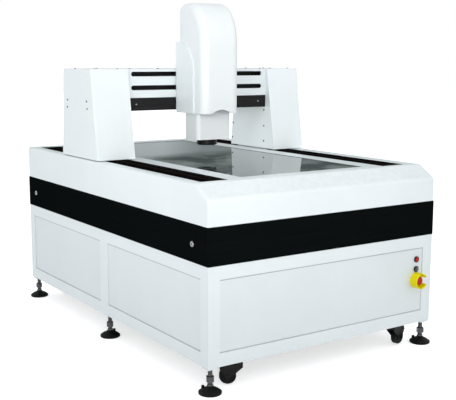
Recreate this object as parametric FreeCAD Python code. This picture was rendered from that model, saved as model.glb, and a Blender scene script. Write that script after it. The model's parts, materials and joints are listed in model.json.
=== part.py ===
import FreeCAD, Part
import math
import os

# Vision measuring machine with a moving gantry, on a floor-standing cabinet.
# Millimetres. X runs to the right, Y away from the operator and Z up from the floor.
# Places along X are given from the left face, and places along Y from the front face.

V = FreeCAD.Vector

# Main body
width = 1300.0
depth = 1925.0
cabinet_bottom = 117.0
cabinet_top = 550.0
band_top = 715.0
deck_top = 884.0
sheet = 2.0
casing_wall = 3.0
fit_gap = 0.3

# Cabinet frame of welded square tube
frame_inset = 1.0
tube = 60.0
tube_wall = 4.0
mid_post_width = 82.0
cross_beam_offset = 600.0
seat_size = 110.0
seat_offset = 420.0
granite_bottom = 600.0
panel_recess = 5.0
panel_gap = 0.9

# Levelling feet
foot_inset = 30.0
foot_pad = 50.0
foot_pad_height = 8.0
foot_radius = 50.0
foot_rim_height = 10.0
foot_dome_height = 34.0
foot_neck_radius = 15.0
foot_collar_height = 8.0
stud_radius = 10.0
stud_top_in_frame = 14.0
foot_nut_across = 32.0
foot_nut_height = 24.0
foot_nut_level = 52.0
foot_lug_radius = 7.0
foot_lug_offset = 33.0
foot_lug_height = 31.0
foot_lug_turns = (125.0, 25.0, 60.0, 125.0, 40.0, 300.0)
foot_shoulder_share = 0.72
foot_shoulder_level = 20.0
foot_neck_height = 4.0
foot_rim_chamfer = 2.0
foot_collar_share = 0.85

# Casters
caster_inset_x = 176.0
caster_inset_y = 62.0
caster_plate_x = 116.0
caster_plate_y = 68.0
caster_plate_thickness = 6.0
caster_seat_margin = 10.0
caster_seat_thickness = 6.0
caster_wheel_radius = 37.5
caster_wheel_width = 32.0
caster_wheel_room = 3.0
caster_hub_share = 0.42
caster_tread_share = 0.78
caster_web_recess = 3.0
caster_tread_setback = 1.0
caster_slope = 2.0
caster_shoulder_run = 4.0
caster_shoulder_rise = 3.0
caster_swivel_radius = 30.0
caster_swivel_height = 7.0
caster_hood_share = 0.95
caster_hood_slope = 14.0
caster_brow_front = -36.0
caster_front_slope = 10.0
caster_brow_drop = 12.0
caster_brow_lip = 3.0
caster_brow_thickness = 5.0
caster_leg_half = 11.0
caster_leg_drop = 8.0
caster_bolt_head_radius = 8.0
caster_bolt_head_height = 4.0
caster_pedal_gap = 3.0
caster_pedal_points = (
    (-20.0, 0.0),
    (-10.0, -10.0),
    (12.0, -14.0),
    (13.0, -9.0),
    (-4.0, -4.0),
    (-12.0, 3.0),
    (-20.0, 3.0),
)
caster_floor_gap = 5.0
caster_trail = 30.0
caster_axle_radius = 5.0
caster_king_radius = 6.0
caster_cheek = 4.0
caster_cheek_gap = 2.5
caster_running_gap = 0.08
caster_turns = {"front_left": 146.0, "front_right": 16.0, "rear_left": 20.0, "rear_right": 160.0}

# Dark band and its screws
band_flange = 25.0
band_screw_radius = 13.0
band_screw_head = 5.0
band_screw_drop = 4.0
screw_round_share = 0.7
screw_corner_share = 0.5
screw_socket_share = 0.75
screw_socket_floor_share = 0.5
band_shank_radius = 6.0
band_shank_length = 12.0
band_screw_from_front = 119.0
band_screw_from_rear = 108.0
band_screw_from_side = 119.0

# Light upper casing
bevel_start = 826.0
bevel_run = 95.0
bevel_softness = 26.0
bevel_soft_share = 0.4
bevel_back_drop = 4.0
bevel_back_run = 12.0
casing_seam = 150.0
casing_edge_radius = 9.0
casing_side_wall = 6.0
slot_inset = 46.0
slot_width = 138.0
slot_front = 127.0
slot_rear = 75.0
slot_cut_depth = 60.0
slot_lip_height = 18.0
strip_margin = 9.0
strip_drop = 0.5
strip_tongue = 3.0
strip_overlap = 10.0

# Stage
stage_margin_x = 276.0
stage_margin_front = 165.0
stage_margin_rear = 110.0
stage_deck_thickness = 6.0
stage_wall = 18.0
stage_ledge = 15.0
glass_drop = 2.0
glass_thickness = 12.0
glass_corner_radius = 12.0
backlight_thickness = 20.0
backlight_margin = 6.0

# Granite bed, rails and motors of the Y axis. Their middle, and the stage's, lies left of the cabinet's.
bed_offset = -20.0
granite_inset = 60.0
granite_top = 780.0
rail_width = 28.0
rail_height = 26.0
rail_end_margin = 80.0
rail_waist = 5.6
rail_groove_low = 9.1
rail_groove_high = 15.6
block_width = 70.0
block_length = 110.0
block_floor_gap = 4.0
block_gap = 0.3
magnet_width = 70.0
magnet_height = 16.0
magnet_from_rail = 75.0
coil_width = 60.0
coil_length = 260.0
coil_gap = 1.0

# Gantry
gantry_front = 1010.0
upright_depth = 426.0
upright_front_lean = 71.0
upright_rear_lean = 38.0
upright_side_gap = 3.0
upright_width = 209.0
upright_foot_gap = 4.0
upright_top = 1337.0
upright_wall = 3.0
upright_edge_radius = 4.0
upright_top_radius = 18.0
column_front = 80.0
column_depth = 280.0
column_foot = 890.0
column_wall = 12.0
column_web = 6.0
column_web_gap = 2.0
saddle_bottom = 838.0
saddle_thickness = 18.0
saddle_front = 30.0
saddle_depth = 360.0
saddle_margin = 46.0
saddle_width = 190.0
beam_face = 88.0
beam_setback = 52.0
beam_depth = 190.0
beam_bottom = 1140.0
beam_wall = 12.0
beam_band_bottom = 1124.0
beam_band_top = 1190.0
beam_band_proud = 2.0
beam_slot_inset = 28.0
beam_slot_low = 1229.0
beam_slot_high = 1299.0
beam_slot_height = 24.0
gantry_screw_radius = 5.0
gantry_screw_head = 3.0
side_screw_levels = (1140.0, 1177.0)
side_screw_from_front = 70.0
side_screw_from_rear = 55.0
inner_screw_levels = (930.0, 1015.0, 1105.0)
inner_screw_setback = 9.0
inner_screw_from_rear = 11.0
band_screw_margin_left = 55.0
band_screw_margin_right = 51.0
top_screw_setback = 14.0
top_screw_from_rear = 50.0
top_screw_count = 6
top_screw_shares = (0.2, 0.8)
saddle_end_margin = 5.0

# X axis on the beam
x_rail_width = 20.0
x_rail_height = 18.0
x_rail_low = 1165.0
x_rail_high = 1290.0
x_block_width = 44.0
x_block_length = 70.0
x_block_depth = 32.0
x_magnet_depth = 8.0
x_magnet_height = 55.0
x_coil_height = 45.0
x_coil_length = 130.0
x_carriage_plate = 12.0
x_carriage_bottom = 1140.0
x_carriage_top = 1325.0

# Head on the X carriage
head_offset = -30.0
head_width = 224.0
head_depth = 230.0
head_front_gap = 34.0
head_bottom = 1111.0
head_top = 1671.0
head_roll_start = 1465.0
head_roll_depth = 141.0
head_back_radius = 40.0
head_corner_radius = 42.0
head_wall = 3.0
head_seam = 1.0
head_cap_setback = 4.0
head_mouth_height = 30.0
head_service_margin = 4.0
head_service_above_rails = 20.0
cheek_thickness = 8.0
cheek_top = 1475.0
cheek_front = 921.0
cheek_roll_depth = 137.0
cheek_roll_height = 168.0
head_plate = 24.0
arm_clearance = 3.0
arm_half_width = 90.0
arch_width = 112.0
arch_height = 21.0
arch_depth = 60.0

# Z axis in the head
lens_axis = 977.0
z_rail_spacing = 110.0
z_rail_width = 15.0
z_rail_depth = 15.0
z_rail_top = 1440.0
z_block_width = 34.0
z_block_length = 45.0
z_block_pitch = 75.0
z_slide_thickness = 18.0
z_slide_width = 150.0
z_slide_bottom = 1000.0
z_slide_top = 1280.0
z_slide_setback = 52.0
screw_radius = 6.0
screw_setback = 23.0
screw_collar_radius = 10.0
screw_collar_height = 6.0
screw_bearing_gap = 0.06
nut_radius = 14.0
nut_height = 40.0
nut_bottom = 1200.0
bearing_shelf = 12.0
bearing_shelf_low = 1125.0
bearing_shelf_high = 1440.0
bearing_shelf_width = 66.0
shelf_gap = 1.0
z_motor_size = 40.0
z_motor_height = 100.0
z_motor_corner_radius = 5.0

# Lens housing, lens, camera and ring light
housing_width = 206.0
housing_depth = 111.0
housing_wing = 9.0
housing_wing_inset = 11.0
housing_bottom = 975.0
housing_top = 1180.0
housing_wall = 3.0
housing_corner_radius = 22.0
lens_radius = 31.0
lens_nose_radius = 27.7
lens_nose_bottom = 953.0
lens_shoulder = 1120.0
lens_top_radius = 26.0
camera_bottom = 1180.0
camera_size = 62.0
camera_height = 82.0
camera_corner_radius = 4.0
ring_radius = 53.0
ring_bottom = 944.0
ring_bore_radius = 28.0
ring_chamfer = 3.0
clamp_height = 30.0
clamp_width = 90.0
clamp_level = 1060.0
clamp_reach = 11.0

# Switches on the front panel
switch_inset = 100.0
button_level = 435.0
key_level = 387.0
estop_level = 333.0
bezel_radius = 15.0
bezel_height = 5.0
cap_radius = 10.5
cap_height = 8.0
cap_tail = 12.0
switch_body_radius = 13.0
switch_body_length = 34.0
switch_gap = 0.3
switch_body_end = 6.0
estop_collar_extra = 1.0
key_stand = 1.0
key_ridge_reach = 8.4
button_edge_radius = 1.5
key_ridge_width = 5.0
key_ridge_height = 9.0
guard_radius = 38.0
guard_wall = 6.0
guard_height = 43.0
guard_floor = 3.0
guard_mouth = 56.0
guard_notch = 24.0
guard_upper_notch_start = 78.0
guard_root = 6.0
mushroom_radius = 20.0
mushroom_thickness = 12.0
mushroom_height = 30.0
mushroom_edge_radius = 5.0
mushroom_stem_radius = 8.0

# Electrics inside the cabinet
box_width = 520.0
box_depth = 420.0
box_height = 250.0
box_from_front = 1150.0
box_beam_inset = 70.0
box_lid_lip = 3.0
inlet_width = 48.0
inlet_height = 30.0
inlet_depth = 22.0
inlet_flange = 8.0
inlet_from_side = 180.0
inlet_level = 230.0
inlet_wall = 5.0
inlet_pin_places = ((-9.0, 2.0), (0.0, -2.0), (9.0, 2.0))
inlet_pin_half_width = 1.0
inlet_pin_half_height = 3.0
inlet_pin_setback = 4.0

# The origin lies on the floor, under the middle of the whole outline.
foot_reach = foot_radius - foot_inset
reach_ahead = max(guard_height - frame_inset - panel_recess, foot_reach)
reach_behind = max(band_screw_head, foot_reach)
front_face = (reach_ahead - reach_behind - depth) / 2
left_face = -width / 2

slot_centre = slot_inset + slot_width / 2
head_middle = head_offset
head_back = gantry_front + beam_face - head_front_gap
head_face = head_back - head_depth
plate_back = head_back + head_plate
cap_back = plate_back - head_cap_setback
beam_front = gantry_front + beam_face + beam_setback
carriage_front = beam_front - x_block_depth - x_carriage_plate
beam_cover_depth = upright_depth - upright_rear_lean - beam_face


def behind(distance):
    """Y of a place this far behind the front face."""
    return front_face + distance


def from_left(distance):
    """X of a place this far from the left face."""
    return left_face + distance


def box(x, y, z):
    """Block between two limits along each axis."""
    return Part.makeBox(x[1] - x[0], y[1] - y[0], z[1] - z[0], V(x[0], y[0], z[0]))


def cylinder(radius, height, base, direction=V(0, 0, 1)):
    return Part.makeCylinder(radius, height, base, direction)


def face_of(points):
    return Part.Face(Part.makePolygon(points + [points[0]]))


def prism_along_x(outline, x):
    """Outline in Y and Z, drawn out between two X limits."""
    return face_of([V(x[0], y, z) for y, z in outline]).extrude(V(x[1] - x[0], 0, 0))


def prism_along_y(outline, y):
    """Outline in X and Z, drawn out between two Y limits."""
    return face_of([V(x, y[0], z) for x, z in outline]).extrude(V(0, y[1] - y[0], 0))


def prism_along_z(outline, z):
    """Outline in X and Y, drawn out between two levels."""
    return face_of([V(x, y, z[0]) for x, y in outline]).extrude(V(0, 0, z[1] - z[0]))


def hexagon(across, centre, z):
    corner = across / math.sqrt(3)
    points = []
    for step in range(6):
        angle = math.radians(60 * step)
        points.append((centre.x + corner * math.cos(angle), centre.y + corner * math.sin(angle)))
    return prism_along_z(points, z)


def fused(shapes):
    """One solid from shapes that touch or overlap."""
    whole = shapes[0].multiFuse(shapes[1:])
    return whole.removeSplitter()


def group(shapes):
    return Part.makeCompound(shapes)


def mirrored(shape):
    """The same piece on the machine's other side."""
    return shape.mirror(V(0, 0, 0), V(1, 0, 0))


def across_bed(shape):
    """The same piece on the other side of the stage."""
    return shape.mirror(V(bed_offset, 0, 0), V(1, 0, 0))


def across_bed_x(x):
    return 2 * bed_offset - x


def edges_where(shape, test):
    return [edge for edge in shape.Edges if test(edge)]


def is_along(edge, axis):
    """True for a straight edge that runs along this axis."""
    if edge.Curve.TypeId != "Part::GeomLine":
        return False
    direction = (edge.lastVertex().Point - edge.firstVertex().Point).normalize()
    return abs(direction.dot(axis)) > 0.999


def hollow_bar(x, y, z):
    """Square tube: its outside and its inside."""
    wall = tube_wall
    outside = box(x, y, z)
    inside = box((x[0] + wall, x[1] - wall), (y[0] + wall, y[1] - wall), (z[0] + wall, z[1] - wall))
    return outside, inside


def foot_places():
    """The six feet, along X and Y."""
    places = []
    for x in (from_left(foot_inset), from_left(width - foot_inset)):
        for y in (behind(foot_inset), behind(depth / 2), behind(depth - foot_inset)):
            places.append(V(x, y, 0))
    return places


def caster_places():
    near = behind(caster_inset_y)
    far = behind(depth - caster_inset_y)
    left = from_left(caster_inset_x)
    right = from_left(width - caster_inset_x)
    return {
        "front_left": V(left, near, 0),
        "front_right": V(right, near, 0),
        "rear_left": V(left, far, 0),
        "rear_right": V(right, far, 0),
    }


# Cabinet

def frame_bars():
    left = from_left(frame_inset)
    right = from_left(width - frame_inset)
    front = behind(frame_inset)
    rear = behind(depth - frame_inset)
    middle = behind(depth / 2)
    low = (cabinet_bottom, cabinet_bottom + tube)
    high = (cabinet_top - tube, cabinet_top)
    bars = []
    for x in ((left, left + tube), (right - tube, right)):
        for y in ((front, front + tube), (rear - tube, rear)):
            bars.append((x, y, (cabinet_bottom, cabinet_top)))
        bars.append((x, (middle - mid_post_width / 2, middle + mid_post_width / 2), (cabinet_bottom, cabinet_top)))
        for z in (low, high):
            bars.append((x, (front + tube, middle - mid_post_width / 2), z))
            bars.append((x, (middle + mid_post_width / 2, rear - tube), z))
    across = (left + tube, right - tube)
    for z in (low, high):
        for y in ((front, front + tube), (rear - tube, rear)):
            bars.append((across, y, z))
    for y in (middle - cross_beam_offset, middle, middle + cross_beam_offset):
        bars.append((across, (y - tube / 2, y + tube / 2), high))
    for y in box_beam_places():
        bars.append((across, (y - tube / 2, y + tube / 2), low))
    return bars


def box_beam_places():
    """The two low beams that carry the control box."""
    return (behind(box_from_front + box_beam_inset), behind(box_from_front + box_depth - box_beam_inset))


def caster_seat(place):
    """Plate welded inside the end rail, above a caster."""
    inward = 1 if place.y < 0 else -1
    rail_edge = behind(frame_inset + tube) if inward > 0 else behind(depth - frame_inset - tube)
    reach = rail_edge + inward * caster_plate_y
    y = (min(rail_edge, reach), max(rail_edge, reach))
    half = caster_plate_x / 2 + caster_seat_margin
    x = (place.x - half, place.x + half)
    return box(x, y, (cabinet_bottom, cabinet_bottom + caster_seat_thickness))


def base_frame():
    """Tubes, seats and pads, each its own solid, welded face to face."""
    parts = []
    for bar in frame_bars():
        outside, inside = hollow_bar(*bar)
        parts.append(outside.cut(inside))
    middle = behind(depth / 2)
    half = seat_size / 2
    depth_half = min(half, tube / 2)
    for x in (-seat_offset, seat_offset):
        for y in (middle - cross_beam_offset, middle, middle + cross_beam_offset):
            parts.append(box((x - half, x + half), (y - depth_half, y + depth_half), (cabinet_top, granite_bottom)))
    reach = min(foot_pad / 2, foot_inset - frame_inset)
    for place in foot_places():
        x = (place.x - reach, place.x + reach)
        y = (place.y - reach, place.y + reach)
        parts.append(box(x, y, (cabinet_bottom - foot_pad_height, cabinet_bottom)))
    for place in caster_places().values():
        parts.append(caster_seat(place))
    holes = []
    for place in foot_places():
        base = V(place.x, place.y, cabinet_bottom - foot_pad_height)
        holes.append(cylinder(stud_radius, foot_pad_height + tube_wall, base))
    return group([part.cut(group(holes)) for part in parts])


def panel_sheet(along, z, fixed, run):
    """Flat sheet between two limits, in a side or an end opening of the frame."""
    if run == "y":
        return box(fixed, along, z)
    return box(along, fixed, z)


def opening_levels():
    return (cabinet_bottom + tube + panel_gap, cabinet_top - tube - panel_gap)


def side_panels():
    outer = from_left(frame_inset + panel_recess)
    middle = behind(depth / 2)
    edge = frame_inset + tube + panel_gap
    near = (behind(edge), middle - mid_post_width / 2 - panel_gap)
    far = (middle + mid_post_width / 2 + panel_gap, behind(depth - edge))
    sheets = []
    for along in (near, far):
        left = panel_sheet(along, opening_levels(), (outer, outer + sheet), "y")
        sheets.append(left)
        sheets.append(mirrored(left))
    return group(sheets)


def end_opening():
    edge = frame_inset + tube + panel_gap
    return (from_left(edge), from_left(width - edge))


def panel_face():
    """Y of the front panel's outer face."""
    return behind(frame_inset + panel_recess)


def switch_places():
    x = from_left(width - switch_inset)
    return {
        "button": V(x, panel_face(), button_level),
        "key": V(x, panel_face(), key_level),
        "estop": V(x, panel_face(), estop_level),
    }


def front_panel():
    face = panel_face()
    panel = panel_sheet(end_opening(), opening_levels(), (face, face + sheet), "x")
    for place in switch_places().values():
        panel = panel.cut(cylinder(switch_body_radius, sheet, place, V(0, 1, 0)))
    return panel


def inlet_window():
    x = (from_left(width - inlet_from_side - inlet_width), from_left(width - inlet_from_side))
    return x, (inlet_level, inlet_level + inlet_height)


def rear_panel():
    face = behind(depth - frame_inset - panel_recess)
    panel = panel_sheet(end_opening(), opening_levels(), (face - sheet, face), "x")
    x, z = inlet_window()
    return panel.cut(box(x, (face - sheet, face), z))


def power_inlet():
    face = behind(depth - frame_inset - panel_recess)
    x, z = inlet_window()
    lip = inlet_flange
    flange = box((x[0] - lip, x[1] + lip), (face, face + sheet), (z[0] - lip, z[1] + lip))
    body = box(x, (face - inlet_depth, face), z)
    wall = inlet_wall
    well = box((x[0] + wall, x[1] - wall), (face - inlet_depth + wall, face + sheet), (z[0] + wall, z[1] - wall))
    inlet = fused([flange, body]).cut(well)
    pins = []
    middle = (x[0] + x[1]) / 2
    level = (z[0] + z[1]) / 2
    pin_y = (face - inlet_depth + wall, face - inlet_pin_setback)
    for offset, drop in inlet_pin_places:
        pin_x = (middle + offset - inlet_pin_half_width, middle + offset + inlet_pin_half_width)
        pin_z = (level - drop - inlet_pin_half_height, level - drop + inlet_pin_half_height)
        pins.append(box(pin_x, pin_y, pin_z))
    return fused([inlet] + pins)


def control_box():
    floor = cabinet_bottom + tube
    y = (behind(box_from_front), behind(box_from_front + box_depth))
    body = box((-box_width / 2, box_width / 2), y, (floor, floor + box_height))
    hollow = box(
        (-box_width / 2 + sheet, box_width / 2 - sheet),
        (y[0] + sheet, y[1] - sheet),
        (floor + sheet, floor + box_height - sheet),
    )
    lid = box(
        (-box_width / 2 - box_lid_lip, box_width / 2 + box_lid_lip),
        (y[0] - box_lid_lip, y[1] + box_lid_lip),
        (floor + box_height - sheet, floor + box_height),
    )
    return fused([body, lid]).cut(hollow)


# Feet and casters

def foot_discs():
    profile = [
        V(0, 0, 0),
        V(foot_radius - foot_rim_chamfer, 0, 0),
        V(foot_radius, 0, foot_rim_chamfer),
        V(foot_radius, 0, foot_rim_height),
        V(foot_radius * foot_shoulder_share, 0, foot_shoulder_level),
        V(foot_neck_radius, 0, foot_dome_height - foot_neck_height),
        V(foot_neck_radius, 0, foot_dome_height),
        V(0, 0, foot_dome_height),
    ]
    discs = []
    for place, turn in zip(foot_places(), foot_lug_turns):
        disc = face_of(profile).revolve(V(0, 0, 0), V(0, 0, 1), 360)
        lug = cylinder(foot_lug_radius, foot_lug_height, V(foot_lug_offset, 0, 0))
        lug.rotate(V(0, 0, 0), V(0, 0, 1), turn)
        disc = disc.fuse(lug).removeSplitter()
        disc.translate(place)
        discs.append(disc)
    return group(discs)


def foot_studs():
    studs = []
    for place in foot_places():
        top = cabinet_bottom + stud_top_in_frame
        stud = cylinder(stud_radius, top - foot_dome_height, place + V(0, 0, foot_dome_height))
        collar = cylinder(foot_neck_radius * foot_collar_share, foot_collar_height, place + V(0, 0, foot_dome_height))
        studs.append(fused([stud, collar]))
    return group(studs)


def foot_nuts():
    nuts = []
    for place in foot_places():
        nut = hexagon(foot_nut_across, place, (foot_nut_level, foot_nut_level + foot_nut_height))
        bore = cylinder(stud_radius, foot_nut_height, V(place.x, place.y, foot_nut_level))
        nuts.append(nut.cut(bore))
    return group(nuts)


def caster_plates():
    plates = []
    for place in caster_places().values():
        x = (place.x - caster_plate_x / 2, place.x + caster_plate_x / 2)
        y = (place.y - caster_plate_y / 2, place.y + caster_plate_y / 2)
        z = (cabinet_bottom - caster_plate_thickness, cabinet_bottom)
        bore = cylinder(caster_king_radius + caster_running_gap, caster_plate_thickness, V(place.x, place.y, z[0]))
        plates.append(box(x, y, z).cut(bore))
    return group(plates)


def caster_axle_level():
    return caster_wheel_radius + caster_floor_gap


def turned_caster(shape, name):
    shape.rotate(V(0, 0, 0), V(0, 0, 1), caster_turns[name])
    shape.translate(caster_places()[name])
    return shape


def caster_fork(name):
    top = cabinet_bottom - caster_plate_thickness - fit_gap
    head = top - caster_swivel_height
    level = caster_axle_level()
    inner = caster_wheel_width / 2 + caster_cheek_gap
    outer = inner + caster_cheek
    swivel_disc = cylinder(min(caster_swivel_radius, caster_plate_y / 2), top - head, V(0, 0, head))
    king_pin = cylinder(caster_king_radius, top + caster_plate_thickness - head, V(0, 0, head))
    hood_back = caster_trail + caster_wheel_radius * caster_hood_share
    hood_top = hood_back - caster_hood_slope
    crown_low = level + caster_wheel_radius + caster_wheel_room
    brow_low = crown_low - caster_brow_drop
    crown = box((caster_brow_front + caster_front_slope, hood_top), (-outer, outer), (crown_low, head))
    brow_outline = [
        (hood_top, head),
        (hood_back, brow_low + caster_brow_lip),
        (hood_back - caster_brow_thickness, brow_low),
        (hood_top, crown_low),
    ]
    brow = prism_along_y(brow_outline, (-outer, outer))
    outline = [
        (caster_brow_front, head),
        (caster_brow_front, crown_low),
        (caster_trail - caster_leg_half, level - caster_leg_drop),
        (caster_trail + caster_leg_half, level - caster_leg_drop),
        (hood_back - caster_brow_thickness, brow_low),
        (hood_top, head),
    ]
    cheeks = [prism_along_y(outline, (inner, outer)), prism_along_y(outline, (-outer, -inner))]
    fork = fused([swivel_disc, king_pin, crown, brow] + cheeks)
    bore = cylinder(caster_axle_radius, 2 * outer, V(caster_trail, -outer, level), V(0, 1, 0))
    fork = fork.cut(bore)
    axle = cylinder(caster_axle_radius, 2 * outer, V(caster_trail, -outer, level), V(0, 1, 0))
    ends = []
    for start in (-outer - caster_bolt_head_height, outer):
        place = V(caster_trail, start, level)
        ends.append(cylinder(caster_bolt_head_radius, caster_bolt_head_height, place, V(0, 1, 0)))
    axle = fused([axle] + ends)
    pedal_outline = [(hood_back + reach, head + rise) for reach, rise in caster_pedal_points]
    pedal_half = inner - caster_pedal_gap
    pedal = prism_along_y(pedal_outline, (-pedal_half, pedal_half)).cut(fork)
    return turned_caster(group([fork, axle, pedal]), name)


def caster_wheel(name):
    level = caster_axle_level()
    half = caster_wheel_width / 2
    radius = caster_wheel_radius
    bore = caster_axle_radius + caster_running_gap
    hub = radius * caster_hub_share
    tread = radius * caster_tread_share
    web = half - caster_web_recess
    rim = half - caster_tread_setback
    side = [
        (bore, half),
        (hub, half),
        (hub + caster_slope, web),
        (tread, web),
        (tread + caster_slope, rim),
        (radius - caster_shoulder_rise, rim),
        (radius, rim - caster_shoulder_run),
    ]
    profile = [V(reach, -across, 0) for reach, across in side]
    profile += [V(reach, across, 0) for reach, across in reversed(side)]
    wheel = face_of(profile).revolve(V(0, 0, 0), V(0, 1, 0), 360)
    wheel.translate(V(caster_trail, 0, level))
    return turned_caster(wheel, name)


# Dark band

def button_head(centre, outward, radius, height, shank_radius, shank_length):
    """Round-topped screw with a hexagon socket, its head's seat at the centre."""
    head = cylinder(radius, height, V(0, 0, 0))
    top = edges_where(head, lambda edge: edge.CenterOfMass.z > height - 0.01 and len(edge.Vertexes) < 2)
    head = head.makeFillet(min(height * screw_round_share, radius * screw_corner_share), top)
    socket = hexagon(radius * screw_socket_share, V(0, 0, 0), (height * screw_socket_floor_share, height + 1))
    head = head.cut(socket)
    shank = cylinder(shank_radius, shank_length, V(0, 0, -shank_length))
    screw = fused([head, shank])
    screw.Placement = FreeCAD.Placement(centre, FreeCAD.Rotation(V(0, 0, 1), outward))
    return screw


def band_screw_places():
    """Seat and outward direction of each band screw."""
    level = (cabinet_top + band_top) / 2 - band_screw_drop
    near = behind(band_screw_from_front)
    far = behind(depth - band_screw_from_rear)
    places = []
    for y in (near, far):
        places.append((V(from_left(0), y, level), V(-1, 0, 0)))
        places.append((V(from_left(width), y, level), V(1, 0, 0)))
    for x in (from_left(band_screw_from_side), from_left(width - band_screw_from_side)):
        places.append((V(x, behind(depth), level), V(0, 1, 0)))
    return places


def band_screws():
    screws = []
    for place, outward in band_screw_places():
        screws.append(
            button_head(place, outward, band_screw_radius, band_screw_head, band_shank_radius, band_shank_length)
        )
    return group(screws)


def with_screw_holes(shape):
    for place, outward in band_screw_places():
        shape = shape.cut(cylinder(band_shank_radius, sheet + 1, place, outward.negative()))
    return shape


def side_bands():
    y = (behind(sheet + fit_gap), behind(depth - sheet - fit_gap))
    web = box((from_left(0), from_left(sheet)), y, (cabinet_top, band_top))
    parts = [web]
    for z in ((cabinet_top, cabinet_top + sheet), (band_top - sheet, band_top)):
        parts.append(box((from_left(0), from_left(band_flange)), y, z))
    left = fused(parts)
    return group([with_screw_holes(left), with_screw_holes(mirrored(left))])


def end_bands():
    bands = []
    flange_x = (from_left(band_flange + fit_gap), from_left(width - band_flange - fit_gap))
    for y, flange_y in (
        ((behind(0), behind(sheet)), (behind(0), behind(band_flange))),
        ((behind(depth - sheet), behind(depth)), (behind(depth - band_flange), behind(depth))),
    ):
        parts = [box((from_left(0), from_left(width)), y, (cabinet_top, band_top))]
        for z in ((cabinet_top, cabinet_top + sheet), (band_top - sheet, band_top)):
            parts.append(box(flange_x, flange_y, z))
        bands.append(with_screw_holes(fused(parts)))
    return group(bands)


# Light upper casing

def slot_openings():
    """The two long openings in the deck, over the Y rails."""
    y = (behind(slot_front), behind(depth - slot_rear))
    x = (from_left(slot_inset), from_left(slot_inset + slot_width))
    left = box(x, y, (deck_top - slot_cut_depth, deck_top + 1))
    return [left, across_bed(left)]


def casing_front():
    bevel_end = behind(bevel_run)
    seam = behind(casing_seam)
    outline = [
        (behind(0), band_top),
        (behind(0), bevel_start),
        (bevel_end, deck_top),
        (seam, deck_top),
        (seam, band_top),
    ]
    shell = prism_along_x(outline, (from_left(0), from_left(width)))

    def soft(edge):
        middle = edge.CenterOfMass
        on_bevel = abs(middle.z - bevel_start) < 1 or (abs(middle.z - deck_top) < 1 and middle.y < seam - 1)
        return is_along(edge, V(1, 0, 0)) and on_bevel and middle.y < seam - 1

    shell = shell.makeFillet(min(bevel_softness, bevel_run * bevel_soft_share), edges_where(shell, soft))

    def side_edge(edge):
        middle = edge.CenterOfMass
        at_side = abs(abs(middle.x) - width / 2) < 0.5
        return at_side and middle.z > band_top + 1 and middle.y < seam - 1

    shell = shell.makeFillet(casing_edge_radius, edges_where(shell, side_edge))
    wall = casing_wall
    hollow_outline = [
        (behind(wall), band_top - 1),
        (behind(wall), bevel_start - wall),
        (bevel_end + wall, deck_top - wall - bevel_back_drop),
        (bevel_end + wall + bevel_back_run, deck_top - wall),
        (seam + 1, deck_top - wall),
        (seam + 1, band_top - 1),
    ]
    hollow = prism_along_x(hollow_outline, (from_left(casing_side_wall), from_left(width - casing_side_wall)))
    shell = shell.cut(hollow)
    for opening in slot_openings():
        shell = shell.cut(opening)
    return shell


def casing_body():
    y = (behind(casing_seam), behind(depth))
    block = box((from_left(0), from_left(width)), y, (band_top, deck_top))

    def top_edge(edge):
        middle = edge.CenterOfMass
        outside = abs(abs(middle.x) - width / 2) < 0.5 or abs(middle.y - y[1]) < 0.5
        return outside and middle.y > y[0] + 1 and middle.z > band_top + 1

    block = block.makeFillet(casing_edge_radius, edges_where(block, top_edge))
    wall = casing_wall
    hollow = box((from_left(wall), from_left(width - wall)), (y[0] - 1, y[1] - wall), (band_top - 1, deck_top - wall))
    deck_hole = box(
        (from_left(slot_inset), across_bed_x(from_left(slot_inset))),
        (y[0] - 1, behind(depth - slot_rear)),
        (deck_top - wall - 1, deck_top + 1),
    )
    lip_left = box(
        (from_left(slot_inset - wall), from_left(slot_inset)),
        (y[0], behind(depth - slot_rear)),
        (deck_top - slot_lip_height, deck_top - wall),
    )
    return fused([block.cut(hollow).cut(deck_hole), lip_left, across_bed(lip_left)])


def slot_strips():
    """Cover strips just below the deck, with a tongue under it at each end."""
    x = (from_left(slot_inset + strip_margin), inner_web_x()[0] - column_web_gap)
    y = (behind(slot_front), behind(depth - slot_rear))
    top = deck_top - strip_drop
    tongue_top = deck_top - stage_deck_thickness
    strip = box(x, (y[0] + fit_gap, y[1] - fit_gap), (tongue_top, top))
    tongue_y = (y[0] - strip_overlap, y[1] + strip_overlap)
    left = fused([strip, box(x, tongue_y, (tongue_top - strip_tongue, tongue_top))])
    return group([left, across_bed(left)])


# Stage

def stage_window(grow):
    left = from_left(stage_margin_x - grow)
    y = (behind(stage_margin_front - grow), behind(depth - stage_margin_rear + grow))
    return (left, across_bed_x(left)), y


def stage_surround():
    inner_edge = from_left(slot_inset + slot_width)
    deck = box(
        (inner_edge, across_bed_x(inner_edge)),
        (behind(casing_seam), behind(depth - slot_rear)),
        (deck_top - stage_deck_thickness, deck_top),
    )
    x, y = stage_window(stage_wall)
    ring = box(x, y, (granite_top, deck_top - stage_deck_thickness))
    glass_bottom = deck_top - glass_drop - glass_thickness
    x, y = stage_window(fit_gap)
    glass_well = box(x, y, (glass_bottom, deck_top + 1))
    upright = edges_where(glass_well, lambda edge: is_along(edge, V(0, 0, 1)))
    glass_well = glass_well.makeFillet(glass_corner_radius, upright)
    x, y = stage_window(-stage_ledge)
    light_well = box(x, y, (granite_top - 1, glass_bottom + 1))
    return fused([deck, ring]).cut(glass_well).cut(light_well)


def stage_glass():
    x, y = stage_window(0)
    top = deck_top - glass_drop
    glass = box(x, y, (top - glass_thickness, top))
    upright = edges_where(glass, lambda edge: is_along(edge, V(0, 0, 1)))
    return glass.makeFillet(glass_corner_radius, upright)


def backlight():
    x, y = stage_window(-stage_ledge - backlight_margin)
    return box(x, y, (granite_top, granite_top + backlight_thickness))


# Granite bed and the fixed half of the Y axis

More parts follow.
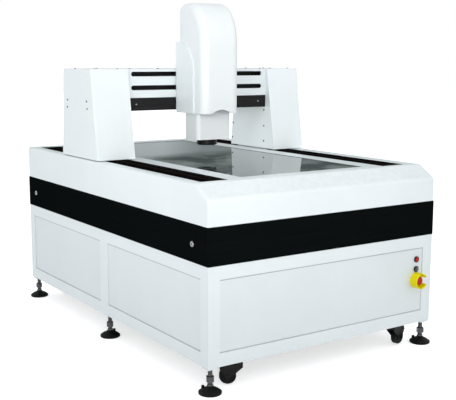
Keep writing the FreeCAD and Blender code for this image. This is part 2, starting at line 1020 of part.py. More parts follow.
def granite_base():
    x = (from_left(granite_inset), from_left(width - granite_inset))
    y = (behind(granite_inset), behind(depth - granite_inset))
    return box(x, y, (granite_bottom, granite_top))


def bed_run():
    return (behind(rail_end_margin), behind(depth - rail_end_margin))


def y_rails():
    x = (from_left(slot_centre - rail_width / 2), from_left(slot_centre + rail_width / 2))
    left = box(x, bed_run(), (granite_top, granite_top + rail_height))
    for side in (x[0], x[1] - rail_waist):
        z = (granite_top + rail_groove_low, granite_top + rail_groove_high)
        left = left.cut(box((side, side + rail_waist), bed_run(), z))
    return group([left, across_bed(left)])


def y_magnet_tracks():
    centre = slot_centre + magnet_from_rail
    x = (from_left(centre - magnet_width / 2), from_left(centre + magnet_width / 2))
    left = box(x, bed_run(), (granite_top, granite_top + magnet_height))
    return group([left, across_bed(left)])


# Gantry

def upright_front(level):
    """Y of an upright's slanted front face at this level."""
    share = (level - cover_foot()) / (upright_top - cover_foot())
    return behind(gantry_front + upright_front_lean * share)


def upright_rear(level):
    share = (level - cover_foot()) / (upright_top - cover_foot())
    return behind(gantry_front + upright_depth - upright_rear_lean * share)


def cover_foot():
    return deck_top + upright_foot_gap


def upright_prism(x, inset, low, high):
    outline = [
        (upright_front(low) + inset, low),
        (upright_front(high) + inset, high),
        (upright_rear(high) - inset, high),
        (upright_rear(low) - inset, low),
    ]
    return prism_along_x(outline, x)


def beam_face_y():
    return behind(gantry_front + beam_face)


def beam_window():
    """Space of the beam's cover, seen from the side."""
    y = (beam_face_y(), beam_face_y() + beam_cover_depth)
    return y, (beam_band_bottom, upright_top)


def upright_limits():
    """Outer and inner X of the left upright's cover."""
    return (from_left(upright_side_gap), from_left(upright_side_gap + upright_width))


def upright_cover():
    x = upright_limits()
    wall = upright_wall
    shell = upright_prism(x, 0, cover_foot(), upright_top)

    def rear_top(edge):
        middle = edge.CenterOfMass
        return is_along(edge, V(1, 0, 0)) and abs(middle.z - upright_top) < 1 and middle.y > beam_face_y()

    shell = shell.makeFillet(upright_top_radius, edges_where(shell, rear_top))

    def outer_edge(edge):
        middle = edge.CenterOfMass
        return abs(middle.x - x[0]) < 0.5 and middle.z > cover_foot() + 1

    shell = shell.makeFillet(upright_edge_radius, edges_where(shell, outer_edge))
    hollow = upright_prism((x[0] + wall, x[1] - wall), wall + 0.1, cover_foot(), upright_top - wall)
    below = upright_prism((x[0] + wall, x[1] - wall), wall + 0.1, cover_foot() - 5, cover_foot() + 5)
    service_side = box(
        (x[1] - wall - 1, x[1] + 1),
        (beam_face_y(), upright_rear(cover_foot()) + 1),
        (cover_foot() - 1, upright_top - wall),
    )
    rear_strip = upright_prism((x[1] - wall - 1, x[1] + 1), wall + 0.1, cover_foot(), upright_top - wall)
    shell = shell.cut(hollow).cut(below).cut(service_side.common(rear_strip))
    return shell


def left_upright_cover():
    return with_gantry_screw_holes(upright_cover())


def right_upright_cover():
    return with_gantry_screw_holes(mirrored(upright_cover()))


def inner_cover():
    x = upright_limits()
    wall = upright_wall
    plate = upright_prism((x[1] - wall, x[1]), wall + 0.1 + fit_gap, cover_foot(), upright_top - wall - fit_gap)
    front = box((x[0], x[1] + 1), (beam_face_y() - upright_depth, beam_face_y() + fit_gap), (0, upright_top))
    window_y, window_z = beam_window()
    window = box((x[0], x[1] + 1), (window_y[0] - 1, window_y[1] + fit_gap), (window_z[0] - fit_gap, window_z[1]))
    return plate.cut(front).cut(window)


def inner_covers():
    left = with_gantry_screw_holes(inner_cover())
    return group([left, with_gantry_screw_holes(mirrored(inner_cover()))])


def column_x():
    inner = upright_limits()[1] - upright_wall
    return (from_left(slot_inset + column_web_gap), inner)


def column_y():
    return (behind(gantry_front + column_front), behind(gantry_front + column_front + column_depth))


def inner_web_x():
    """X limits of the left column's inner web, placed so that its twin stands under the right post."""
    edge = across_bed_x(-column_x()[1])
    return (edge - column_web, edge)


def column_post():
    x = column_x()
    y = column_y()
    top = upright_top - upright_wall
    wall = column_wall
    void = box((x[0] + wall, x[1] - wall), (y[0] + wall, y[1] - wall), (column_foot + wall, top - wall))
    return box(x, y, (column_foot, top)).cut(void)


def column_foot_parts():
    """Saddle over the left rail, and the two webs that pass up through the slot."""
    saddle_y = (behind(gantry_front + saddle_front), behind(gantry_front + saddle_front + saddle_depth))
    saddle_top = saddle_bottom + saddle_thickness
    saddle = box(
        (from_left(saddle_margin), from_left(saddle_margin + saddle_width)),
        saddle_y,
        (saddle_bottom, saddle_top),
    )
    outer_start = from_left(slot_inset + column_web_gap)
    parts = [saddle]
    for web in ((outer_start, outer_start + column_web), inner_web_x()):
        parts.append(box(web, column_y(), (saddle_top, column_foot + 1)))
    return parts


def gantry_columns():
    post = column_post()
    foot_parts = column_foot_parts()
    left = fused([post] + foot_parts)
    right = fused([mirrored(post)] + [across_bed(part) for part in foot_parts])
    return group([left, right])


def beam_limits():
    inner = column_x()[1]
    return (inner, -inner)


def gantry_beam():
    y = (behind(beam_front), behind(beam_front + beam_depth))
    z = (beam_bottom, upright_top - upright_wall)
    wall = beam_wall
    outside = box(beam_limits(), y, z)
    x = (beam_limits()[0] + wall, beam_limits()[1] - wall)
    return outside.cut(box(x, (y[0] + wall, y[1] - wall), (z[0] + wall, z[1] - wall)))


def rounded_slot(x, y, z):
    """Long slot with round ends, cut through along Y."""
    radius = (z[1] - z[0]) / 2
    level = (z[0] + z[1]) / 2
    middle = box((x[0] + radius, x[1] - radius), y, z)
    ends = [
        cylinder(radius, y[1] - y[0], V(x[0] + radius, y[0], level), V(0, 1, 0)),
        cylinder(radius, y[1] - y[0], V(x[1] - radius, y[0], level), V(0, 1, 0)),
    ]
    return fused([middle] + ends)


def beam_slot_limits():
    inner = upright_limits()[1]
    return (inner + beam_slot_inset, -inner - beam_slot_inset)


def beam_cover():
    y, z = beam_window()
    wall = upright_wall
    x = (upright_limits()[1], -upright_limits()[1])
    front = box(beam_limits(), (y[0], y[0] + wall), (beam_band_top, z[1] - wall))
    top = box(x, y, (z[1] - wall, z[1]))
    rear = box(x, (y[1] - wall, y[1]), z)
    cover = fused([front, top, rear])
    for low in (beam_slot_low, beam_slot_high):
        through = (y[0] - 1, y[0] + wall + 1)
        cover = cover.cut(rounded_slot(beam_slot_limits(), through, (low, low + beam_slot_height)))
    return with_gantry_screw_holes(cover)


def beam_band():
    inner = upright_limits()[1]
    y = (beam_face_y() - beam_band_proud, beam_face_y() + upright_wall)
    return with_gantry_screw_holes(box((inner, -inner), y, (beam_band_bottom, beam_band_top)))


def gantry_screw_places():
    """Seat and outward direction of each small screw in the gantry's covers."""
    places = []
    side = upright_limits()[0]
    inner = upright_limits()[1]
    face = beam_face_y()
    for level in side_screw_levels:
        for y in (upright_front(level) + side_screw_from_front, upright_rear(level) - side_screw_from_rear):
            places.append((V(side, y, level), V(-1, 0, 0)))
            places.append((V(-side, y, level), V(1, 0, 0)))
    for level in inner_screw_levels:
        for y in (face + inner_screw_setback, upright_rear(level) - inner_screw_from_rear):
            places.append((V(inner, y, level), V(1, 0, 0)))
            places.append((V(-inner, y, level), V(-1, 0, 0)))
    band_level = (beam_band_bottom + beam_band_top) / 2
    for x in (inner + band_screw_margin_left, -inner - band_screw_margin_right):
        places.append((V(x, face - beam_band_proud, band_level), V(0, -1, 0)))
    low, high = beam_slot_limits()
    for step in range(top_screw_count):
        x = low + (high - low) * step / (top_screw_count - 1)
        places.append((V(x, face + top_screw_setback, upright_top), V(0, 0, 1)))
    for share in top_screw_shares:
        x = side + (inner - side) * share
        for y in (face + top_screw_setback, face + beam_cover_depth - top_screw_from_rear):
            places.append((V(x, y, upright_top), V(0, 0, 1)))
            places.append((V(-x, y, upright_top), V(0, 0, 1)))
    return places


def gantry_screws():
    screws = []
    radius = gantry_screw_radius
    for place, outward in gantry_screw_places():
        screws.append(button_head(place, outward, radius, gantry_screw_head, radius * 0.5, upright_wall))
    return group(screws)


def with_gantry_screw_holes(shape):
    holes = []
    for place, outward in gantry_screw_places():
        start = place + outward
        holes.append(cylinder(gantry_screw_radius * 0.5, upright_wall + 1, start, outward.negative()))
    return shape.cut(group(holes))


def saddle_ends():
    """Y limits of the two bearing blocks under one saddle."""
    start = behind(gantry_front + saddle_front + saddle_end_margin)
    end = behind(gantry_front + saddle_front + saddle_depth - saddle_end_margin)
    return ((start, start + block_length), (end - block_length, end))


def y_blocks():
    x = (from_left(slot_centre - block_width / 2), from_left(slot_centre + block_width / 2))
    blocks = []
    for y in saddle_ends():
        block = box(x, y, (granite_top + block_floor_gap, saddle_bottom))
        rail_x = (
            from_left(slot_centre - rail_width / 2 - block_gap),
            from_left(slot_centre + rail_width / 2 + block_gap),
        )
        channel = box(rail_x, (y[0] - 1, y[1] + 1), (granite_top, granite_top + rail_height + block_gap))
        block = block.cut(channel)
        blocks.append(block)
        blocks.append(across_bed(block))
    return group(blocks)


def y_motor_coils():
    centre = slot_centre + magnet_from_rail
    x = (from_left(centre - coil_width / 2), from_left(centre + coil_width / 2))
    middle = behind(gantry_front + saddle_front + saddle_depth / 2)
    y = (middle - coil_length / 2, middle + coil_length / 2)
    left = box(x, y, (granite_top + magnet_height + coil_gap, saddle_bottom))
    return group([left, across_bed(left)])


# X axis

def x_rails():
    rails = []
    face = behind(beam_front)
    for level in (x_rail_low, x_rail_high):
        z = (level - x_rail_width / 2, level + x_rail_width / 2)
        rails.append(box(beam_limits(), (face - x_rail_height, face), z))
    return group(rails)


def x_motor_level():
    return (x_rail_low + x_rail_high) / 2


def x_magnet_track():
    face = behind(beam_front)
    level = x_motor_level()
    z = (level - x_magnet_height / 2, level + x_magnet_height / 2)
    return box(beam_limits(), (face - x_magnet_depth, face), z)


def x_blocks():
    face = behind(beam_front)
    back = face - block_gap
    front = face - x_block_depth
    blocks = []
    for level in (x_rail_low, x_rail_high):
        z = (level - x_block_width / 2, level + x_block_width / 2)
        rail_z = (level - x_rail_width / 2 - block_gap, level + x_rail_width / 2 + block_gap)
        for side in (-1, 1):
            centre = head_middle + side * (head_width / 2 - x_block_length / 2)
            x = (centre - x_block_length / 2, centre + x_block_length / 2)
            block = box(x, (front, back), z)
            channel = box((x[0] - 1, x[1] + 1), (face - x_rail_height - block_gap, back + 1), rail_z)
            blocks.append(block.cut(channel))
    return group(blocks)


def x_motor_coil():
    level = x_motor_level()
    face = behind(beam_front)
    return box(
        (head_middle - x_coil_length / 2, head_middle + x_coil_length / 2),
        (face - x_block_depth, face - x_magnet_depth - coil_gap),
        (level - x_coil_height / 2, level + x_coil_height / 2),
    )


def x_carriage():
    front = behind(carriage_front)
    half = head_width / 2
    return box(
        (head_middle - half, head_middle + half),
        (front, front + x_carriage_plate),
        (x_carriage_bottom, x_carriage_top),
    )


# Head

def head_profile(x):
    """The cover's outside, seen from the side, with its rolled front top."""
    front = behind(head_face)
    back = behind(cap_back)
    centre = V(x[0], front + head_roll_depth, head_roll_start)
    top_point = V(x[0], centre.y, head_top)
    front_point = V(x[0], front, centre.z)
    roll = Part.Ellipse(top_point, front_point, centre).toShape(0.0, math.pi / 2)
    back_top = V(x[0], back, head_top)
    back_low = V(x[0], back, head_bottom)
    front_low = V(x[0], front, head_bottom)
    edges = [
        Part.makeLine(front_low, front_point),
        roll,
        Part.makeLine(top_point, back_top),
        Part.makeLine(back_top, back_low),
        Part.makeLine(back_low, front_low),
    ]
    return Part.Face(Part.Wire(Part.__sortEdges__(edges))).extrude(V(x[1] - x[0], 0, 0))


def head_shell_solid():
    half = head_width / 2
    solid = head_profile((head_middle - half, head_middle + half))

    def back_top(edge):
        middle = edge.CenterOfMass
        high = abs(middle.z - head_top) < 1 and abs(middle.y - behind(cap_back)) < 1
        return high and is_along(edge, V(1, 0, 0))

    solid = solid.makeFillet(head_back_radius, edges_where(solid, back_top))

    def front_corner(edge):
        middle = edge.CenterOfMass
        at_side = abs(abs(middle.x - head_middle) - half) < 0.5
        at_back = middle.y > behind(cap_back) - 0.5
        at_bottom = middle.z < head_bottom + 0.5
        return at_side and not at_back and not at_bottom

    radius = min(head_corner_radius, head_roll_depth * 0.8)
    return solid.makeFillet(radius, edges_where(solid, front_corner))


def scaled_about(shape, x_share, y_share, z_share, anchor):
    """Shape squeezed along each axis towards a fixed point."""
    matrix = FreeCAD.Matrix()
    matrix.move(anchor.negative())
    matrix.scale(x_share, y_share, z_share)
    matrix.move(anchor)
    return shape.transformGeometry(matrix)


def under_cap(ahead, level):
    """Space behind the cover's lower part, where the head plate stands."""
    return box((-width, width), (behind(head_back) - ahead, behind(cap_back) + 1), (head_bottom - 1, level))


def head_cover():
    """Shell over the head. Above the cheeks its cap reaches back over the head plate."""
    outside = head_shell_solid()
    wall = head_wall
    height = head_top - head_bottom
    cover_depth = cap_back - head_face
    corner = V(head_middle, behind(cap_back), head_bottom)
    inner = scaled_about(
        outside,
        (head_width - 2 * wall) / head_width,
        (cover_depth - 2 * wall) / cover_depth,
        (height - wall) / height,
        corner,
    )
    inner.translate(V(0, -wall, 0))
    cap_level = cheek_top + head_seam
    outside = outside.cut(under_cap(0, cap_level))
    inner = inner.cut(under_cap(wall, cap_level + wall))
    slice_z = (head_bottom - 1, head_bottom + head_mouth_height)
    mouth = inner.common(box((-width, width), (behind(0), behind(depth)), slice_z))
    mouth.translate(V(0, 0, -head_mouth_height / 2))
    half = z_slide_width / 2 + head_service_margin
    service = box(
        (head_middle - half, head_middle + half),
        (behind(head_back) - wall - 1, behind(head_back) + 1),
        (head_bottom - 1, z_rail_top + head_service_above_rails),
    )
    sagitta = (arch_width ** 2 / 4 + arch_height ** 2) / (2 * arch_height)
    arch = cylinder(
        sagitta,
        arch_depth,
        V(head_middle, behind(head_face) - 1, head_bottom + arch_height - sagitta),
        V(0, 1, 0),
    )
    return outside.cut(inner).cut(mouth).cut(service).cut(arch)


def cheek_plate(x):
    """Side cheek of the head frame, with a rolled upper front corner."""
    front = behind(cheek_front)
    back = behind(plate_back)
    centre = V(x[0], front + cheek_roll_depth, cheek_top - cheek_roll_height)
    high = V(x[0], centre.y, cheek_top)
    ahead = V(x[0], front, centre.z)
    roll = Part.Ellipse(high, ahead, centre).toShape(0.0, math.pi / 2)
    edges = [
        Part.makeLine(V(x[0], front, head_bottom), ahead),
        roll,
        Part.makeLine(high, V(x[0], back, cheek_top)),
        Part.makeLine(V(x[0], back, cheek_top), V(x[0], back, head_bottom)),
        Part.makeLine(V(x[0], back, head_bottom), V(x[0], front, head_bottom)),
    ]
    return Part.Face(Part.Wire(Part.__sortEdges__(edges))).extrude(V(x[1] - x[0], 0, 0))


def screw_centre():
    return V(head_middle, behind(head_back - screw_setback), 0)


def head_frame():
    half = head_width / 2
    left_cheek = cheek_plate((head_middle - half - cheek_thickness, head_middle - half))
    right_cheek = cheek_plate((head_middle + half, head_middle + half + cheek_thickness))
    across = (head_middle - half, head_middle + half)
    plate = box(across, (behind(head_back), behind(plate_back)), (head_bottom, cheek_top))
    parts = [left_cheek, right_cheek, plate]
    for low in (beam_slot_low, beam_slot_high):
        z = (low + arm_clearance, low + beam_slot_height - arm_clearance)
        x = (head_middle - arm_half_width, head_middle + arm_half_width)
        parts.append(box(x, (behind(plate_back), behind(carriage_front)), z))
    centre = screw_centre()
    shelf_half = bearing_shelf_width / 2
    shelf_front = behind(head_back - z_slide_setback + z_slide_thickness + shelf_gap)
    shelf_x = (centre.x - shelf_half, centre.x + shelf_half)
    shelves = []
    for low in (bearing_shelf_low, bearing_shelf_high):
        shelves.append(box(shelf_x, (shelf_front, behind(head_back)), (low, low + bearing_shelf)))
    frame = fused(parts + shelves)
    radius = screw_radius + screw_bearing_gap
    bore_base = V(centre.x, centre.y, bearing_shelf_low)
    return frame.cut(cylinder(radius, bearing_shelf_high + bearing_shelf - bearing_shelf_low, bore_base))


def z_rails():
    rails = []
    face = behind(head_back)
    for side in (-1, 1):
        centre = head_middle + side * z_rail_spacing / 2
        x = (centre - z_rail_width / 2, centre + z_rail_width / 2)
        rails.append(box(x, (face - z_rail_depth, face), (head_bottom, z_rail_top)))
    return group(rails)


def z_motor():
    centre = screw_centre()
    half = z_motor_size / 2
    floor = bearing_shelf_high + bearing_shelf
    x = (centre.x - half, centre.x + half)
    body = box(x, (centre.y - half, centre.y + half), (floor, floor + z_motor_height))
    upright = edges_where(body, lambda edge: is_along(edge, V(0, 0, 1)))
    return body.makeFillet(z_motor_corner_radius, upright)


def z_screw():
    centre = screw_centre()
    low = bearing_shelf_low
    top = bearing_shelf_high + bearing_shelf - fit_gap
    screw = cylinder(screw_radius, top - low, V(centre.x, centre.y, low))
    collar_level = low + bearing_shelf + fit_gap
    collar = cylinder(screw_collar_radius, screw_collar_height, V(centre.x, centre.y, collar_level))
    return fused([screw, collar])


# Z slide with the optics

def z_slide():
    half = z_slide_width / 2
    front = behind(head_back - z_slide_setback)
    back = front + z_slide_thickness
    plate = box((head_middle - half, head_middle + half), (front, back), (z_slide_bottom, z_slide_top))
    parts = [plate]
    rail_face = behind(head_back)
    channels = []
    for side in (-1, 1):
        centre = head_middle + side * z_rail_spacing / 2
        x = (centre - z_block_width / 2, centre + z_block_width / 2)
        for low in (z_slide_top - z_block_length, z_slide_top - z_block_length - z_block_pitch):
            parts.append(box(x, (back, rail_face - fit_gap), (low, low + z_block_length)))
        rail_x = (centre - z_rail_width / 2 - block_gap, centre + z_rail_width / 2 + block_gap)
        rail_y = (rail_face - z_rail_depth - block_gap, rail_face + 1)
        channels.append(box(rail_x, rail_y, (z_slide_bottom, z_slide_top + 1)))
    centre = screw_centre()
    nut = cylinder(nut_radius, nut_height, V(centre.x, centre.y, nut_bottom))
    arm_x = (centre.x - nut_radius, centre.x + nut_radius)
    nut_arm = box(arm_x, (back, centre.y), (nut_bottom, nut_bottom + nut_height))
    axis = behind(lens_axis)
    clamp = box(
        (head_middle - clamp_width / 2, head_middle + clamp_width / 2),
        (axis - clamp_reach, front),
        (clamp_level, clamp_level + clamp_height),
    )
    slide = fused(parts + [nut, nut_arm, clamp])
    slide = slide.cut(group(channels))
    slide = slide.cut(cylinder(screw_radius + fit_gap, nut_height, V(centre.x, centre.y, nut_bottom)))
    return slide.cut(cylinder(lens_radius, clamp_height, V(head_middle, axis, clamp_level)))


def housing_limits():
    x = (head_middle - housing_width / 2, head_middle + housing_width / 2)
    back = behind(head_back - z_slide_setback)
    return x, (back - housing_depth, back)


def lens_housing():
    x, y = housing_limits()
    shell = box(x, y, (housing_bottom, housing_top))

    def front_upright(edge):
        return is_along(edge, V(0, 0, 1)) and edge.CenterOfMass.y < y[0] + 1

    shell = shell.makeFillet(housing_corner_radius, edges_where(shell, front_upright))
    wall = housing_wall
    inner = box((x[0] + wall, x[1] - wall), (y[0] + wall, y[1] - wall), (housing_bottom + wall, housing_top + 1))
    inner = inner.makeFillet(housing_corner_radius - wall, edges_where(inner, front_upright_of(y[0] + wall)))
    shell = shell.cut(inner)
    wings = []
    for side in ((x[0], x[0] + housing_wing_inset), (x[1] - housing_wing_inset, x[1])):
        wings.append(box(side, (y[1] - wall, y[1] + housing_wing), (housing_bottom, housing_top)))
    for side in ((x[0] + wall, x[0] + housing_wing_inset + 1), (x[1] - housing_wing_inset - 1, x[1] - wall)):
        hollow = box(side, (y[1], y[1] + housing_wing - wall), (housing_bottom + wall, housing_top + 1))
        wings = [wing.cut(hollow) for wing in wings]
    shell = fused([shell] + wings)
    half = clamp_width / 2 + fit_gap
    window = box(
        (head_middle - half, head_middle + half),
        (y[1] - wall - 1, y[1] + 1),
        (clamp_level - fit_gap, clamp_level + clamp_height + fit_gap),
    )
    lens_hole = cylinder(lens_nose_radius, wall, V(head_middle, behind(lens_axis), housing_bottom))
    return shell.cut(window).cut(lens_hole)


def front_upright_of(front):
    """Test for upright edges on one front face."""
    return lambda edge: is_along(edge, V(0, 0, 1)) and edge.CenterOfMass.y < front + 1


def zoom_lens():
    centre = V(head_middle, behind(lens_axis), 0)
    nose_length = housing_bottom + housing_wall - lens_nose_bottom
    nose = cylinder(lens_nose_radius, nose_length, centre + V(0, 0, lens_nose_bottom))
    body_low = housing_bottom + housing_wall
    body = cylinder(lens_radius, lens_shoulder - body_low, centre + V(0, 0, body_low))
    top = cylinder(lens_top_radius, camera_bottom - lens_shoulder, centre + V(0, 0, lens_shoulder))
    return fused([nose, body, top])


def camera():
    centre = V(head_middle, behind(lens_axis), 0)
    half = camera_size / 2
    body = box(
        (centre.x - half, centre.x + half),
        (centre.y - half, centre.y + half),
        (camera_bottom, camera_bottom + camera_height),
    )
    upright = edges_where(body, lambda edge: is_along(edge, V(0, 0, 1)))
    return body.makeFillet(camera_corner_radius, upright)


def ring_light():
    centre = V(head_middle, behind(lens_axis), ring_bottom)
    height = housing_bottom - ring_bottom
    ring = cylinder(ring_radius, height, centre)
    lower_edge = edges_where(ring, lambda edge: edge.CenterOfMass.z < ring_bottom + 0.1 and len(edge.Vertexes) < 2)
    ring = ring.makeChamfer(ring_chamfer, lower_edge)
    return ring.cut(cylinder(ring_bore_radius, height, centre))


# Switches

def switch_body(place, collar_radius, bore_radius):
    """Collar on the panel and a body behind it, with a blind bore for the moving piece."""
    inward = V(0, 1, 0)
    collar = cylinder(collar_radius, bezel_height, place - inward * bezel_height, inward)
    body = cylinder(switch_body_radius, switch_body_length, place, inward)
    bore_length = bezel_height + switch_body_length - switch_body_end
    bore = cylinder(bore_radius, bore_length, place - inward * bezel_height, inward)
    return fused([collar, body]).cut(bore)


def switch_bezels():
    places = switch_places()
    bodies = [
        switch_body(places["button"], bezel_radius, cap_radius + switch_gap),
        switch_body(places["key"], bezel_radius, cap_radius + switch_gap),
    ]
    stop_place = places["estop"] - V(0, guard_floor, 0)
    bodies.append(switch_body(stop_place, bezel_radius + estop_collar_extra, mushroom_stem_radius + switch_gap))
    return group(bodies)


def power_button():
    place = switch_places()["button"]
    length = cap_height + cap_tail
    cap = cylinder(cap_radius, length, place - V(0, cap_height, 0), V(0, 1, 0))
    rim = edges_where(cap, lambda edge: edge.CenterOfMass.y < place.y - cap_height + 0.1 and len(edge.Vertexes) < 2)
    return cap.makeFillet(button_edge_radius, rim)


def key_switch():
    place = switch_places()["key"]
    face = place - V(0, bezel_height + key_stand, 0)
    barrel = cylinder(cap_radius, bezel_height + key_stand + cap_tail, face, V(0, 1, 0))
    half = key_ridge_width / 2
    ridge = box(
        (place.x - half, place.x + half),
        (face.y - key_ridge_height, face.y),
        (place.z - key_ridge_reach, place.z + key_ridge_reach),
    )
    return fused([barrel, ridge])


def wedge(centre, start, sweep, radius, y):
    """Sector between two angles round an axis along Y."""
    points = [(centre.x, centre.z)]
    steps = 6
    for step in range(steps + 1):
        angle = math.radians(start + sweep * step / steps)
        points.append((centre.x + radius * math.cos(angle), centre.z + radius * math.sin(angle)))
    return prism_along_y(points, y)


def estop_guard():
    place = switch_places()["estop"]
    outward = V(0, -1, 0)
    drum = cylinder(guard_radius, guard_height, place, outward)
    well = cylinder(guard_radius - guard_wall, guard_height, place + outward * guard_floor, outward)
    guard = drum.cut(well)
    y = (place.y - guard_height - 1, place.y - guard_floor - guard_root)
    reach = guard_radius * 1.5
    openings = (
        (-guard_mouth / 2, guard_mouth),
        (-90 - guard_notch, guard_notch),
        (guard_upper_notch_start, guard_notch),
    )
    for start, sweep in openings:
        guard = guard.cut(wedge(place, start, sweep, reach, y))
    return guard.cut(cylinder(switch_body_radius, guard_floor, place, outward))


def estop_button():
    place = switch_places()["estop"]
    inward = V(0, 1, 0)
    crown = place - inward * mushroom_height
    cap = cylinder(mushroom_radius, mushroom_thickness, crown, inward)
    rim = edges_where(cap, lambda edge: edge.CenterOfMass.y < crown.y + 0.1 and len(edge.Vertexes) < 2)
    cap = cap.makeFillet(min(mushroom_edge_radius, mushroom_thickness * 0.45), rim)
    stem = cylinder(mushroom_stem_radius, mushroom_height + cap_tail, crown, inward)
    return fused([cap, stem])


pieces = {
    "base_frame": base_frame,
    "side_panels": side_panels,
    "front_panel": front_panel,
    "rear_panel": rear_panel,
    "side_bands": side_bands,
    "end_bands": end_bands,
    "band_screws": band_screws,
    "casing_front": casing_front,
    "casing_body": casing_body,
    "slot_strips": slot_strips,
    "stage_surround": stage_surround,
    "stage_glass": stage_glass,
    "backlight": backlight,
    "granite_base": granite_base,
    "y_rails": y_rails,
    "y_magnet_tracks": y_magnet_tracks,
    "foot_discs": foot_discs,
    "foot_studs": foot_studs,
    "foot_nuts": foot_nuts,
    "caster_plates": caster_plates,
    "switch_bezels": switch_bezels,
    "estop_guard": estop_guard,
    "power_inlet": power_inlet,
    "control_box": control_box,
    "gantry_columns": gantry_columns,
    "gantry_beam": gantry_beam,
    "y_blocks": y_blocks,
    "y_motor_coils": y_motor_coils,
    "left_upright_cover": left_upright_cover,
    "right_upright_cover": right_upright_cover,
    "inner_covers": inner_covers,
    "beam_cover": beam_cover,
    "beam_band": beam_band,
    "gantry_screws": gantry_screws,
    "x_rails": x_rails,
    "x_magnet_track": x_magnet_track,
    "x_blocks": x_blocks,
    "x_motor_coil": x_motor_coil,
    "x_carriage": x_carriage,
    "head_frame": head_frame,
    "head_cover": head_cover,
    "z_rails": z_rails,
    "z_motor": z_motor,
    "z_screw": z_screw,
    "z_slide": z_slide,
    "lens_housing": lens_housing,
    "zoom_lens": zoom_lens,
    "camera": camera,
    "ring_light": ring_light,
    "power_button": power_button,
    "key_switch": key_switch,
    "estop_button": estop_button,
}


def main():
    os.makedirs("parts", exist_ok=True)
    shapes = {name: make() for name, make in pieces.items()}
    for name in caster_turns:
        shapes["caster_fork_" + name] = caster_fork(name)
        shapes["caster_wheel_" + name] = caster_wheel(name)
    for name, shape in shapes.items():
        shape.exportStep("parts/" + name + ".step")
        print(name, len(shape.Solids), round(shape.Volume / 1000.0, 1), shape.isValid())


main()
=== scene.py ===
import json
import math

import bmesh
import bpy
from bpy.props import FloatProperty, FloatVectorProperty, IntProperty, PointerProperty
from mathutils import Matrix, Vector


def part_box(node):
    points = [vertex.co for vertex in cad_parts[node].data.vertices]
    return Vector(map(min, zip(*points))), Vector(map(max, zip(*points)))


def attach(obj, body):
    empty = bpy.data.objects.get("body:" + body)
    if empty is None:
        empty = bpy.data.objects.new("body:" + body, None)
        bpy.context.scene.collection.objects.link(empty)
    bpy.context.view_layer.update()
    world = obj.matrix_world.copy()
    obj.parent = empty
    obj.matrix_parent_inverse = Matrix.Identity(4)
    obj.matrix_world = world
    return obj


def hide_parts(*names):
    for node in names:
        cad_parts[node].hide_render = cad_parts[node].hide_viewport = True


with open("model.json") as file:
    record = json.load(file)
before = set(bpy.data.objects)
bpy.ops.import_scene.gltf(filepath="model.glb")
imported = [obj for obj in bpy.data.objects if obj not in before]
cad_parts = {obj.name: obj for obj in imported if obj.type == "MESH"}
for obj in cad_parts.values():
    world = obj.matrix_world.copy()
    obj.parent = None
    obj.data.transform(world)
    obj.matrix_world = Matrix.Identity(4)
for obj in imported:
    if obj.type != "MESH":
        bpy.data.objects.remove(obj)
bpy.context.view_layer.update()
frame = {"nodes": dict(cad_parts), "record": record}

bl_info = {
    "name": "Vision Measuring Machine",
    "version": (1, 0, 0),
    "blender": (4, 5, 0),
    "location": "View3D > Sidebar > Machine",
    "description": "Finishes and small details of a gantry vision measuring machine",
    "category": "Object",
}

RECORD = frame["record"]
BODY_OF = {node: body for body, nodes in RECORD["behaviour"]["bodies"].items() for node in nodes}
SLOT_OF = {entry["node"]: entry["material_slot"] for entry in RECORD["subparts"]}
LEFT_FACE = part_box("end_bands")[0].x
FRONT_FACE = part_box("end_bands")[0].y
CAMERA_HEADING = math.radians(34.0)
MERGE_DISTANCE = 0.00002
FLAT_ANGLE = math.radians(0.4)
SHARP_ANGLE = math.radians(32.0)


# Properties that a user can change


def colour_choice(name, description, default):
    """Colour that a user can pick."""
    return FloatVectorProperty(
        name=name, description=description, subtype="COLOR", size=3, min=0, max=1, default=default)


def length_choice(name, description, low, high, default):
    """Small length that a user can set, in metres."""
    return FloatProperty(
        name=name, description=description, subtype="DISTANCE", unit="LENGTH", min=low, max=high,
        default=default)


def power_choice(name, description, default, high=5000):
    """Power of a lamp that a user can set, in watts."""
    return FloatProperty(
        name=name, description=description, subtype="POWER", unit="POWER", min=0, max=high, default=default)


class MachineColours(bpy.types.PropertyGroup):
    """Colours of the machine's finishes"""

    paint: colour_choice("Paint", "Cool white of the frame, the panels and the covers", (0.775, 0.84, 0.86))
    shell: colour_choice("Head shell", "White of the head's moulded cover", (0.77, 0.82, 0.84))
    band: colour_choice("Band", "Satin black of the band round the cabinet", (0.0030, 0.0040, 0.0041))
    beam: colour_choice("Beam plate", "Dark plate across the beam", (0.008, 0.008, 0.0085))
    strip: colour_choice("Slot strip", "Cover strip in the two long slots", (0.003, 0.0025, 0.0025))
    glass: colour_choice("Stage glass", "Grey-green of the glass stage", (0.05, 0.064, 0.062))
    guard: colour_choice("Guard", "Yellow of the stop button's guard", (0.92, 0.80, 0.002))
    button: colour_choice("Button", "Red of the two buttons", (0.50, 0.008, 0.005))
    black: colour_choice("Black parts", "Black of the feet, the casters and the lens", (0.004, 0.004, 0.0042))
    steel: colour_choice("Steel", "Plated screws, studs and rails", (0.56, 0.57, 0.59))


